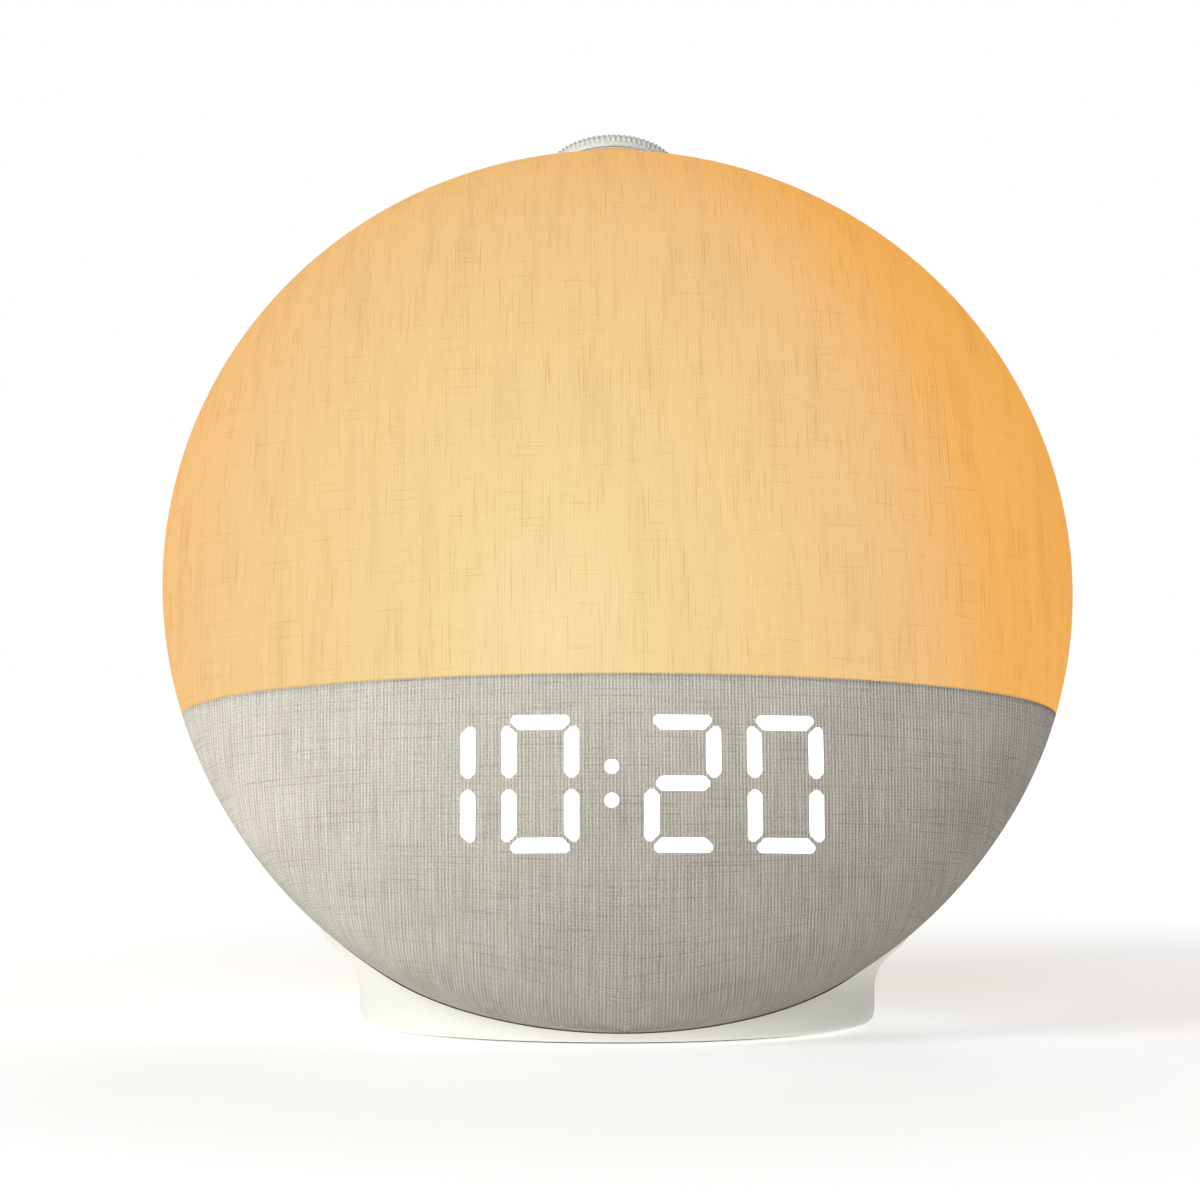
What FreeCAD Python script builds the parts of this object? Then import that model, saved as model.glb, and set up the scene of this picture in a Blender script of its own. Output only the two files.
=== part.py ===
"""Bedside sunrise alarm clock: a fabric ball, lit above and grey below, on a low oval base.

Frame: millimetres, +Z up, the front faces -Y, and the origin is the centre of the foot pad's underside.
The ball leans back by the tilt. Four more frames share the ball's centre, each leaning back about X:
the ball's own, the display's, the dial's (Z runs up the shaft) and the speaker's (Z runs out of the cone).
"""
import FreeCAD, Part
import math
import os

import Sketcher

doc = FreeCAD.newDocument("SunriseClock")
sheet = doc.addObject("Spreadsheet::Sheet", "Sizes")

SIZES = [
    ("ball_half_width", 75.0),
    ("ball_half_height", 77.5),
    ("ball_front_depth", 22.5),
    ("ball_back_depth", 75.0),
    ("ball_sink", 1.25),
    ("tilt", 18.5),
    ("parting_drop", 26.0),
    ("fabric_thickness", 0.8),
    ("glue_gap", 0.1),
    ("shell_wall", 2.2),
    ("seam_gap", 0.3),
    ("clearance", 0.2),
    ("cut_past", 1.0),
    ("merge_depth", 0.4),
    ("bore_clearance", 0.05),
    ("running_gap", 0.3),
    ("base_width_share", 0.5733),
    ("base_depth_share", 0.4533),
    ("base_offset", 10.4),
    ("base_wall", 2.4),
    ("base_floor", 1.5),
    ("base_flare", 4.3),
    ("base_flare_height", 11.1),
    ("base_edge_round", 1.3),
    ("foot_thickness", 0.5),
    ("foot_inset", 3.0),
    ("housing_floor", 2.0),
    ("screw_shank_radius", 1.25),
    ("screw_head_radius", 2.4),
    ("screw_head_height", 0.9),
    ("screw_length", 7.0),
    ("boss_radius", 3.3),
    ("base_screw_across", 14.0),
    ("base_screw_front", -22.0),
    ("base_screw_back", -4.0),
    ("base_boss_height", 8.0),
    ("deck_thickness", 2.0),
    ("deck_rise", 0.6),
    ("deck_screw_across", 46.0),
    ("deck_screw_front", 4.0),
    ("deck_screw_back", 40.0),
    ("reflector_thickness", 0.6),
    ("board_thickness", 1.2),
    ("light_board_radius", 21.0),
    ("light_board_back", 29.0),
    ("spreader_thickness", 1.5),
    ("spreader_margin", 1.5),
    ("chip_side", 3.5),
    ("chip_height", 0.9),
    ("warm_ring_radius", 17.0),
    ("white_ring_radius", 9.0),
    ("dial_lean", 9.0),
    ("dial_radius", 13.0),
    ("dial_height", 3.7),
    ("dial_gap", 0.9),
    ("dial_band_height", 1.5),
    ("dial_top_radius", 10.8),
    ("dial_wall", 1.6),
    ("dial_dish_depth", 0.5),
    ("dial_travel", 0.5),
    ("hub_radius", 5.2),
    ("hub_drop", 2.5),
    ("shaft_radius", 3.0),
    ("shaft_flat", 2.3),
    ("shaft_top", 2.0),
    ("bezel_radius", 14.6),
    ("bezel_rise", 0.6),
    ("cup_radius", 10.4),
    ("cup_wall", 1.2),
    ("cup_depth", 16.5),
    ("cup_floor", 1.5),
    ("wire_hole_radius", 3.0),
    ("encoder_side", 12.0),
    ("encoder_height", 6.0),
    ("encoder_floor", 1.6),
    ("bushing_radius", 4.0),
    ("bushing_length", 4.5),
    ("rotor_radius", 4.6),
    ("rotor_height", 2.2),
    ("post_radius", 6.5),
    ("post_wall", 1.6),
    ("post_foot_radius", 9.5),
    ("post_foot_height", 2.0),
    ("display_turn", 11.5),
    ("display_face", 17.2),
    ("display_drop", 38.6),
    ("display_across", -1.8),
    ("digit_height", 21.6),
    ("digit_width", 12.1),
    ("stroke", 2.4),
    ("segment_gap", 0.4),
    ("digit_pitch", 16.2),
    ("colon_space", 5.8),
    ("colon_radius", 1.15),
    ("colon_half_pitch", 2.6),
    ("segment_proud", 0.1),
    ("mask_depth", 5.0),
    ("mask_margin", 1.8),
    ("tunnel_wall", 1.3),
    ("main_board_width", 60.0),
    ("main_board_depth", 22.0),
    ("main_board_back", 7.0),
    ("main_board_drop", 6.0),
    ("main_screw_across", 26.0),
    ("processor_side", 10.0),
    ("processor_height", 1.2),
    ("processor_across", -12.0),
    ("shield_width", 16.0),
    ("shield_depth", 12.0),
    ("shield_height", 2.4),
    ("shield_across", 9.0),
    ("main_screw_spread", 7.5),
    ("small_screw_shank", 0.9),
    ("small_screw_head", 1.8),
    ("small_screw_head_height", 0.8),
    ("small_screw_length", 3.6),
    ("small_boss_radius", 2.2),
    ("speaker_angle", 140.0),
    ("speaker_reach", 62.0),
    ("speaker_radius", 19.0),
    ("speaker_flange", 1.4),
    ("speaker_wall", 1.0),
    ("speaker_depth", 11.0),
    ("cone_radius", 11.4),
    ("cone_depth", 4.6),
    ("cone_wall", 0.5),
    ("surround_width", 2.3),
    ("surround_rise", 0.6),
    ("cone_set_back", 0.4),
    ("cone_travel", 1.0),
    ("coil_radius", 5.5),
    ("coil_wall", 0.5),
    ("coil_length", 3.2),
    ("dust_cap_rise", 1.6),
    ("dust_cap_shoulder", 1.28),
    ("magnet_radius", 10.0),
    ("magnet_height", 4.0),
    ("pole_radius", 4.6),
    ("gasket_thickness", 0.6),
    ("duct_radius", 14.4),
    ("duct_bore_depth", 7.0),
    ("speaker_screw_ring", 16.7),
    ("grille_hole_radius", 0.9),
    ("grille_pitch", 3.2),
    ("outlet_width", 1.6),
    ("outlet_height", 5.0),
    ("outlet_pitch", 3.4),
    ("outlet_sill", 1.0),
    ("outlet_start", 19.0),
    ("outlet_count", 4),
    ("rear_board_width", 27.0),
    ("rear_board_across", 1.5),
    ("rear_board_depth", 8.5),
    ("rear_board_inset", 2.8),
    ("rear_board_height", 3.4),
    ("rear_screw_left", -8.0),
    ("rear_screw_right", 11.0),
    ("rear_screw_inset", 1.9),
    ("socket_across", -6.5),
    ("socket_width", 9.0),
    ("socket_thickness", 3.2),
    ("socket_depth", 7.0),
    ("socket_wall", 0.3),
    ("socket_recess", 1.6),
    ("socket_back_wall", 2.0),
    ("tongue_thickness", 0.7),
    ("tongue_setback", 1.3),
    ("tongue_root", 1.7),
    ("switch_across", 8.0),
    ("switch_length", 9.0),
    ("switch_depth", 4.2),
    ("switch_height", 3.6),
    ("switch_wall", 0.7),
    ("switch_inset", 2.0),
    ("slider_travel", 3.0),
    ("slider_length", 3.4),
    ("slider_height", 2.4),
    ("slider_reach", 8.4),
]
# The ball rests in the base, so these follow from the ball's own sizes
FOLLOWING_SIZES = [
    (
        "ball_centre_height",
        "=sqrt((ball_half_height * cos(tilt)) ^ 2 + (ball_back_depth * sin(tilt)) ^ 2) - ball_sink",
    ),
    ("base_half_width", "=ball_half_width * base_width_share"),
    ("base_half_depth", "=ball_back_depth * base_depth_share"),
]
for row, (alias, amount) in enumerate(SIZES + FOLLOWING_SIZES, start=1):
    sheet.set(f"A{row}", alias)
    sheet.set(f"B{row}", str(amount))
    sheet.setAlias(f"B{row}", alias)
doc.recompute()

ALIASES = {alias for alias, _ in SIZES + FOLLOWING_SIZES}

# Frames, and levels that several pieces share
BALL = "tilt"
DISPLAY = "(tilt - display_turn)"
DIAL = "(tilt + dial_lean)"
SPEAKER = "(tilt + speaker_angle)"
HOUSE_OUT = "(fabric_thickness + glue_gap)"
HOUSE_IN = "(fabric_thickness + glue_gap + shell_wall)"
SEAT = "(1 / sqrt((sin(dial_lean) / ball_back_depth) ^ 2 + (cos(dial_lean) / ball_half_height) ^ 2))"
DECK_TOP = "(-parting_drop + deck_rise)"
DECK_UNDER = "(-parting_drop + deck_rise - deck_thickness)"
BASE_TOP = "(foot_thickness + base_floor)"
FLOOR = "(foot_thickness + base_floor + clearance)"
SPAN = "(4 * ball_half_width)"
REAR_BOARD_TOP = "(rear_board_height + board_thickness)"
REAR_WALL = "(base_half_depth - base_wall)"


def size(alias):
    """The number that the sheet holds for one driving dimension."""
    return float(getattr(sheet, alias))


def cells(text):
    """An expression in which every bare alias points at its cell."""
    pieces = []
    word = ""
    for letter in str(text) + " ":
        if letter.isalnum() or letter == "_":
            word += letter
            continue
        pieces.append(f"Sizes.{word}" if word in ALIASES else word)
        pieces.append(letter)
        word = ""
    return "".join(pieces).strip()


def number(text):
    """The number that an expression on the aliases gives now, worked out in a spare cell of the sheet."""
    sheet.set("D1", f"={text}")
    sheet.recompute()
    return float(sheet.get("D1"))


def bind(thing, **properties):
    """Ties properties of an object to expressions on the sheet."""
    for name, text in properties.items():
        thing.setExpression(name, cells(text))
    return thing


def place(thing, x="0", y="0", z="0", frame=None):
    """Puts an object at x, y, z of the world, or of a frame that leans back at the ball's centre."""
    spots = (x, y, z)
    if frame is not None:
        spots = (
            x,
            f"-base_offset + ({y}) * cos({frame}) + ({z}) * sin({frame})",
            f"ball_centre_height - ({y}) * sin({frame}) + ({z}) * cos({frame})",
        )
    lean_axis = FreeCAD.Vector(-1, 0, 0)
    thing.Placement = FreeCAD.Placement(FreeCAD.Vector(), FreeCAD.Rotation(lean_axis, 1))
    for axis, text in zip("xyz", spots):
        thing.setExpression(f"Placement.Base.{axis}", cells(text))
    thing.setExpression("Placement.Rotation.Angle", cells(frame or "0"))
    return thing


def box(name, length, width, height, x, y, z, frame=None):
    """A block centred on x and y that stands on z."""
    block = doc.addObject("Part::Box", name)
    bind(block, Length=length, Width=width, Height=height)
    return place(block, f"({x}) - ({length}) / 2", f"({y}) - ({width}) / 2", z, frame)


def rod(name, radius, height, x, y, z, frame=None):
    """A round bar along the frame's Z that stands on z."""
    bar = doc.addObject("Part::Cylinder", name)
    bind(bar, Radius=radius, Height=height)
    return place(bar, x, y, z, frame)


def fuse(name, *shapes):
    """Several shapes joined into one."""
    result = doc.addObject("Part::MultiFuse", name)
    result.Shapes = list(shapes)
    return result


def common(name, *shapes):
    """The room that all the shapes share."""
    result = doc.addObject("Part::MultiCommon", name)
    result.Shapes = list(shapes)
    return result


def cut(name, base, *tools):
    """The base without the room of the tools."""
    result = doc.addObject("Part::Cut", name)
    result.Base = base
    result.Tool = tools[0] if len(tools) == 1 else fuse(f"{name}_tools", *tools)
    return result


def group(name, *shapes):
    """Separate solids that are kept as one part."""
    result = doc.addObject("Part::Compound", name)
    result.Links = list(shapes)
    return result


def ball_layer(name, inset):
    """The whole ball, drawn in by the inset: a shallow front half and a deep back half."""
    halves = []
    for side, depth, spin in (("front", "ball_front_depth", 180), ("back", "ball_back_depth", 0)):
        half = doc.addObject("Part::Ellipsoid", f"{name}_{side}")
        bind(
            half,
            Radius1=f"ball_half_height - ({inset})",
            Radius2=f"ball_half_width - ({inset})",
            Radius3=f"{depth} - ({inset})",
        )
        half.Angle3 = 180
        half_turn = FreeCAD.Rotation(FreeCAD.Vector(0, 0, 1), spin)
        half.Placement = FreeCAD.Placement(FreeCAD.Vector(), half_turn)
        halves.append(half)
    whole = fuse(name, *halves)
    return place(whole, frame=BALL)


def origin_plane(body, role):
    """One of the planes of a body's own origin."""
    return next(feature for feature in body.Origin.OriginFeatures if feature.Role == role)


def outline(body, name, points):
    """A closed straight-edged sketch on the XZ plane whose corners are tied to the sheet."""
    sketch = body.newObject("Sketcher::SketchObject", name)
    sketch.AttachmentSupport = (origin_plane(body, "XZ_Plane"), "")
    sketch.MapMode = "FlatFace"
    spots = [FreeCAD.Vector(number(across), number(up), 0) for across, up in points]
    count = len(spots)
    for index, spot in enumerate(spots):
        sketch.addGeometry(Part.LineSegment(spot, spots[(index + 1) % count]), False)
    for index in range(count):
        sketch.addConstraint(Sketcher.Constraint("Coincident", index, 2, (index + 1) % count, 1))
    for index, (across, up) in enumerate(points):
        for kind, text, amount in (("DistanceX", across, spots[index].x), ("DistanceY", up, spots[index].y)):
            rule = sketch.addConstraint(Sketcher.Constraint(kind, -1, 1, index, 1, amount))
            if text != "0":
                sketch.setExpression(f"Constraints[{rule}]", cells(text))
    return sketch


def turned(name, points, z="0", frame=None, x="0", y="0"):
    """A body turned about its own Z from radius and height pairs."""
    body = doc.addObject("PartDesign::Body", name)
    sketch = outline(body, f"{name}_profile", points)
    turn = body.newObject("PartDesign::Revolution", f"{name}_turn")
    turn.Profile = sketch
    turn.ReferenceAxis = (sketch, ["V_Axis"])
    turn.Angle = 360
    return place(body, x, y, z, frame)


def ring(name, inner, outer, height, z, frame):
    """A flat ring turned about the frame's Z."""
    return turned(name, [(inner, "0"), (outer, "0"), (outer, height), (inner, height)], z, frame)


def screw(name, x, y, tip, frame=None, upward=False, small=False):
    """A pan-head screw whose head is above its tip, or below it when it is driven upward."""
    prefix = "small_screw" if small else "screw"
    shank_radius = "small_screw_shank" if small else "screw_shank_radius"
    head_radius = "small_screw_head" if small else "screw_head_radius"
    shank_foot = f"({tip}) - {prefix}_length" if upward else tip
    below_shank = f"({tip}) - {prefix}_length - {prefix}_head_height"
    head_foot = below_shank if upward else f"({tip}) + {prefix}_length"
    shank = rod(f"{name}_shank", shank_radius, f"{prefix}_length", x, y, shank_foot, frame)
    head = rod(f"{name}_head", head_radius, f"{prefix}_head_height", x, y, head_foot, frame)
    return fuse(name, shank, head)


# Ball layers, from the outside in
outside = ball_layer("ball_outside", "0")
fabric_back = ball_layer("ball_fabric_back", "fabric_thickness")
house_outside = ball_layer("ball_house_outside", HOUSE_OUT)
house_inside = ball_layer("ball_house_inside", HOUSE_IN)
deck_edge = ball_layer("ball_deck_edge", f"{HOUSE_IN} + clearance")
cradle = ball_layer("ball_cradle", "-clearance")
SEAM_LOW = f"-parting_drop - seam_gap / 2 - {SPAN}"
JOINT_LOW = f"-parting_drop - clearance / 2 - {SPAN}"
above_seam = box("above_seam", SPAN, SPAN, SPAN, "0", "0", "-parting_drop + seam_gap / 2", BALL)
below_seam = box("below_seam", SPAN, SPAN, SPAN, "0", "0", SEAM_LOW, BALL)
above_joint = box("above_joint", SPAN, SPAN, SPAN, "0", "0", "-parting_drop + clearance / 2", BALL)
below_joint = box("below_joint", SPAN, SPAN, SPAN, "0", "0", JOINT_LOW, BALL)
above_floor = box("above_floor", SPAN, SPAN, SPAN, "0", "0", FLOOR)
above_base = box("above_base", SPAN, SPAN, SPAN, "0", "0", BASE_TOP)


# Fabric covers and the shells under them
DIAL_HOLE_FOOT = f"{SEAT} - cup_depth"
dial_hole = rod("dial_hole", "cup_radius + clearance", "2 * cup_depth", "0", "0", DIAL_HOLE_FOOT, DIAL)

light_cover_fabric = cut(
    "light_cover_fabric",
    common("upper_fabric_whole", outside, above_seam),
    fabric_back,
    dial_hole,
)
light_diffuser_dome = cut(
    "light_diffuser_dome",
    common("upper_shell_whole", house_outside, above_joint),
    house_inside,
    dial_hole,
)
speaker_cover_fabric = cut(
    "speaker_cover_fabric",
    common("lower_fabric_whole", outside, below_seam, above_floor),
    fabric_back,
)

SIDES = ("-", "")
DECK_SPOTS = [(side, back) for side in SIDES for back in ("deck_screw_front", "deck_screw_back")]
BASE_SPOTS = [(side, back) for side in SIDES for back in ("base_screw_front", "base_screw_back")]


def display_width(margin):
    """The four digits and the colon space across, with a margin at each side."""
    return f"(3 * digit_pitch + colon_space + digit_width + 2 * ({margin}))"


def display_height(margin):
    """The digits' height with a margin above and below."""
    return f"(digit_height + 2 * ({margin}))"


def display_block(name, margin, depth, face):
    """A block round the digits: its back is at the face value and it runs forward by its depth."""
    low = f"-display_drop - {display_height(margin)} / 2"
    middle = f"-({face}) - ({depth}) / 2"
    width = display_width(margin)
    return box(name, width, depth, display_height(margin), "display_across", middle, low, DISPLAY)


GRILLE_RINGS = 3
GRILLE_REACH = 3.6
ROW_STEP = math.sin(math.radians(60))


def grille_spots():
    """Close-packed hole centres in the speaker's mouth, counted in pitches."""
    steps = range(-GRILLE_RINGS, GRILLE_RINGS + 1)
    spots = [(column + row % 2 / 2, row * ROW_STEP) for row in steps for column in steps]
    return [spot for spot in spots if math.hypot(*spot) <= GRILLE_REACH]


GRILLE_SPOTS = grille_spots()
SPEAKER_SCREW_ANGLES = (45, 135, 225, 315)
SPEAKER_SPOTS = [
    (f"speaker_screw_ring * cos({angle})", f"speaker_screw_ring * sin({angle})")
    for angle in SPEAKER_SCREW_ANGLES
]


def housing_bosses():
    """The bosses that carry the deck's and the base's screws, and the ring that the speaker seats on."""
    pieces = []
    for index, (side, back) in enumerate(DECK_SPOTS):
        spot = f"{side}deck_screw_across"
        height = "ball_half_height"
        low = f"{DECK_UNDER} - ball_half_height"
        pieces.append(rod(f"deck_boss_{index}", "boss_radius", height, spot, back, low, BALL))
    for index, (side, back) in enumerate(BASE_SPOTS):
        spot = f"{side}base_screw_across"
        pieces.append(rod(f"base_boss_{index}", "boss_radius", "base_boss_height", spot, back, FLOOR))
    duct = "ball_half_height - speaker_reach"
    pieces.append(rod("speaker_duct", "speaker_radius", duct, "0", "0", "speaker_reach", SPEAKER))
    reach = "ball_half_height - display_face"
    pieces.append(display_block("display_tunnel", "mask_margin", reach, "display_face"))
    return pieces


def housing_holes():
    """Everything that is cut out of the lower housing."""
    holes = []
    for index, (side, back) in enumerate(DECK_SPOTS):
        low = f"{DECK_TOP} - screw_length - clearance"
        spot = f"{side}deck_screw_across"
        height = "screw_length + cut_past"
        radius = "screw_shank_radius + bore_clearance"
        holes.append(rod(f"deck_boss_bore_{index}", radius, height, spot, back, low, BALL))
    for index, (side, back) in enumerate(BASE_SPOTS):
        spot = f"{side}base_screw_across"
        radius = "screw_shank_radius + bore_clearance"
        holes.append(rod(f"base_boss_bore_{index}", radius, "screw_length", spot, back, BASE_TOP))
    bore_low = "speaker_reach - clearance"
    holes.append(rod("speaker_duct_bore", "duct_radius", "duct_bore_depth", "0", "0", bore_low, SPEAKER))
    window = "mask_margin - tunnel_wall"
    holes.append(display_block("display_window", window, "ball_half_height", "display_face - cut_past"))
    duct = "ball_half_height - speaker_reach"
    for index, (column, row) in enumerate(GRILLE_SPOTS):
        across = f"{column} * grille_pitch"
        up = f"{row} * grille_pitch"
        name = f"grille_hole_{index}"
        holes.append(rod(name, "grille_hole_radius", duct, across, up, "speaker_reach", SPEAKER))
    for index, (across, up) in enumerate(SPEAKER_SPOTS):
        low = "speaker_reach - cut_past"
        height = "small_screw_length + cut_past"
        radius = "small_screw_shank + bore_clearance"
        holes.append(rod(f"speaker_bore_{index}", radius, height, across, up, low, SPEAKER))
    return holes


above_housing_floor = box("above_housing_floor", SPAN, SPAN, SPAN, "0", "0", f"{FLOOR} + housing_floor")
housing_solid = common("housing_solid", house_outside, below_joint, above_floor)
housing_room = common("housing_room", house_inside, above_housing_floor)
housing_hollow = cut("housing_hollow", housing_room, *housing_bosses())
housing_shell = cut("housing_shell", housing_solid, housing_hollow)
lower_housing = cut("lower_housing", housing_shell, *housing_holes())

# Light deck and what stands on it
deck_slab = box("deck_slab", SPAN, SPAN, "deck_thickness", "0", "0", DECK_UNDER, BALL)
MAIN_SPOTS = [(side, end) for side in SIDES for end in ("-", "+")]
deck_parts = [common("deck_plate", deck_edge, deck_slab)]
deck_holes = []
for index, (side, back) in enumerate(DECK_SPOTS):
    spot = f"{side}deck_screw_across"
    radius = "screw_shank_radius + clearance"
    height = "deck_thickness + 2 * cut_past"
    low = f"{DECK_UNDER} - cut_past"
    deck_holes.append(rod(f"deck_screw_hole_{index}", radius, height, spot, back, low, BALL))
for index, (side, end) in enumerate(MAIN_SPOTS):
    across = f"{side}main_screw_across"
    back = f"main_board_back {end} main_screw_spread"
    low = f"{DECK_UNDER} - main_board_drop"
    height = "main_board_drop + merge_depth"
    deck_parts.append(rod(f"main_boss_{index}", "small_boss_radius", height, across, back, low, BALL))
    radius = "small_screw_shank + bore_clearance"
    deck_holes.append(rod(f"main_bore_{index}", radius, "small_screw_length", across, back, low, BALL))
light_deck = cut("light_deck", fuse("deck_solid", *deck_parts), *deck_holes)

REFLECTOR_TOP = f"({DECK_TOP} + reflector_thickness)"
reflector_slab = box("reflector_slab", SPAN, SPAN, "reflector_thickness", "0", "0", DECK_TOP, BALL)
POST_BACK = "(-tan(dial_lean) * parting_drop)"
GAP_FOOT = f"{DECK_TOP} - cut_past"
GAP_HEIGHT = "reflector_thickness + 2 * cut_past"
reflector_gaps = [rod("post_gap", "post_foot_radius + clearance", GAP_HEIGHT, "0", POST_BACK, GAP_FOOT, BALL)]
for index, (side, back) in enumerate(DECK_SPOTS):
    spot = f"{side}deck_screw_across"
    radius = "screw_head_radius + clearance"
    reflector_gaps.append(rod(f"reflector_gap_{index}", radius, GAP_HEIGHT, spot, back, GAP_FOOT, BALL))
reflector_blank = common("reflector_blank", deck_edge, reflector_slab)
reflector_sheet = cut("reflector_sheet", reflector_blank, *reflector_gaps)

heat_spreader = rod(
    "heat_spreader",
    "light_board_radius + spreader_margin",
    "spreader_thickness",
    "0",
    "light_board_back",
    REFLECTOR_TOP,
    BALL,
)
BOARD_FOOT = f"({REFLECTOR_TOP} + spreader_thickness)"
light_board = rod(
    "light_board",
    "light_board_radius",
    "board_thickness",
    "0",
    "light_board_back",
    BOARD_FOOT,
    BALL,
)


def chip_ring(name, count, radius):
    """Square light chips round the light board."""
    chips = []
    for index in range(count):
        angle = f"{360 / count * index}"
        across = f"{radius} * cos({angle})"
        back = f"light_board_back + {radius} * sin({angle})"
        low = f"{BOARD_FOOT} + board_thickness"
        chip = box(f"{name}_{index}", "chip_side", "chip_side", "chip_height", across, back, low, BALL)
        chips.append(chip)
    return group(name, *chips)


warm_light_chips = chip_ring("warm_light_chips", 12, "warm_ring_radius")
white_light_chips = chip_ring("white_light_chips", 6, "white_ring_radius")
deck_screws = group(
    "deck_screws",
    *[
        screw(f"deck_screw_{index}", f"{side}deck_screw_across", back, f"{DECK_TOP} - screw_length", BALL)
        for index, (side, back) in enumerate(DECK_SPOTS)
    ],
)


# Dial, its cup and the encoder in it
def sag(radius):
    """How far the ball's surface has dropped at a radius from the dial's axis."""
    return f"(ball_half_height - sqrt(ball_half_height ^ 2 - ({radius}) ^ 2))"


CUP_FLOOR_TOP = "(-cup_depth + cup_floor)"
ENCODER_FOOT = f"({CUP_FLOOR_TOP} + board_thickness)"
ENCODER_TOP = f"({ENCODER_FOOT} + encoder_height)"
CAP_TOP = "(dial_gap + dial_height)"
dial_cup = turned(
    "dial_cup",
    [
        ("wire_hole_radius", "-cup_depth"),
        ("cup_radius", "-cup_depth"),
        ("cup_radius", f"-{sag('cup_radius')} + clearance"),
        ("bezel_radius", f"-{sag('bezel_radius')} + clearance"),
        ("bezel_radius", f"-{sag('bezel_radius')} + bezel_rise / 2"),
        ("bezel_radius - bezel_rise / 2", f"-{sag('bezel_radius')} + bezel_rise"),
        ("cup_radius - cup_wall", f"-{sag('cup_radius')} + bezel_rise"),
        ("cup_radius - cup_wall", CUP_FLOOR_TOP),
        ("wire_hole_radius", CUP_FLOOR_TOP),
    ],
    SEAT,
    DIAL,
)
encoder_board = rod(
    "encoder_board",
    "cup_radius - cup_wall - clearance",
    "board_thickness",
    "0",
    "0",
    f"{SEAT} + {CUP_FLOOR_TOP}",
    DIAL,
)
encoder_block = box(
    "encoder_block",
    "encoder_side",
    "encoder_side",
    "encoder_height",
    "0",
    "0",
    f"{SEAT} + {ENCODER_FOOT}",
    DIAL,
)
bushing = rod("bushing", "bushing_radius", "bushing_length", "0", "0", f"{SEAT} + {ENCODER_TOP}", DIAL)
ROTOR_FOOT = f"({ENCODER_FOOT} + encoder_floor + clearance)"
SHAFT_FOOT = f"({ENCODER_FOOT} + dial_travel + 2 * clearance)"
rotor_cavity = rod(
    "rotor_cavity",
    "rotor_radius + running_gap",
    "rotor_height + 2 * clearance",
    "0",
    "0",
    f"{SEAT} + {ROTOR_FOOT} - clearance",
    DIAL,
)
shaft_bore = rod(
    "shaft_bore",
    "shaft_radius + bore_clearance",
    "encoder_height + 2 * bushing_length",
    "0",
    "0",
    f"{SEAT} + {ENCODER_FOOT} + clearance",
    DIAL,
)
encoder_solid = fuse("encoder_solid", encoder_block, bushing)
encoder_housing = cut("encoder_housing", encoder_solid, rotor_cavity, shaft_bore)

FLAT_WIDTH = "(4 * shaft_radius)"


def shaft_flat_block(name, flat, low, height):
    """The block beyond the flat of a D-shaped shaft or bore."""
    middle = f"({flat}) + {FLAT_WIDTH} / 2"
    return box(name, FLAT_WIDTH, FLAT_WIDTH, height, "0", middle, low, DIAL)


rotor_disc = rod("rotor_disc", "rotor_radius", "rotor_height", "0", "0", f"{SEAT} + {ROTOR_FOOT}", DIAL)
rotor_bore = cut(
    "rotor_bore",
    rod(
        "rotor_round_bore",
        "shaft_radius + bore_clearance",
        "rotor_height + 2 * cut_past",
        "0",
        "0",
        f"{SEAT} + {ROTOR_FOOT} - cut_past",
        DIAL,
    ),
    shaft_flat_block(
        "rotor_key",
        "shaft_flat + bore_clearance",
        f"{SEAT} + {ROTOR_FOOT} - 2 * cut_past",
        "rotor_height + 4 * cut_past",
    ),
)
encoder_rotor = cut("encoder_rotor", rotor_disc, rotor_bore)

dial_shaft = cut(
    "dial_shaft",
    rod("shaft_rod", "shaft_radius", f"shaft_top - {SHAFT_FOOT}", "0", "0", f"{SEAT} + {SHAFT_FOOT}", DIAL),
    shaft_flat_block(
        "shaft_flat_cutter",
        "shaft_flat",
        f"{SEAT} + {SHAFT_FOOT} - cut_past",
        f"{ROTOR_FOOT} + rotor_height - {SHAFT_FOOT} + 2 * cut_past",
    ),
)

dial_cap = turned(
    "dial_cap",
    [
        ("shaft_radius + bore_clearance", "-hub_drop"),
        ("hub_radius", "-hub_drop"),
        ("hub_radius", f"{CAP_TOP} - dial_wall - dial_dish_depth"),
        ("dial_top_radius - dial_wall", f"{CAP_TOP} - dial_wall - dial_dish_depth"),
        ("dial_radius - dial_wall", "dial_gap + dial_band_height"),
        ("dial_radius - dial_wall", "dial_gap"),
        ("dial_radius", "dial_gap"),
        ("dial_radius", "dial_gap + dial_band_height"),
        ("dial_top_radius", CAP_TOP),
        ("dial_top_radius - dial_wall", f"{CAP_TOP} - dial_dish_depth"),
        ("0", f"{CAP_TOP} - dial_dish_depth"),
        ("0", "shaft_top + bore_clearance"),
        ("shaft_radius + bore_clearance", "shaft_top + bore_clearance"),
    ],
    SEAT,
    DIAL,
)

# Post that stands the cup on the deck
POST_LENGTH = f"{SEAT} - cup_depth + 2 * parting_drop"
post_outer = rod("post_outer", "post_radius", POST_LENGTH, "0", "0", "-2 * parting_drop", DIAL)
post_foot = rod("post_foot", "post_foot_radius", "post_foot_height", "0", POST_BACK, DECK_TOP, BALL)
post_limit = box("post_limit", SPAN, SPAN, SPAN, "0", "0", DECK_TOP, BALL)
post_bore = rod("post_bore", "post_radius - post_wall", SPAN, "0", "0", f"-{SPAN} / 2", DIAL)
post_trimmed = common("post_trimmed", fuse("post_solid", post_outer, post_foot), post_limit)
dial_post = cut("dial_post", post_trimmed, post_bore)


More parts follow.
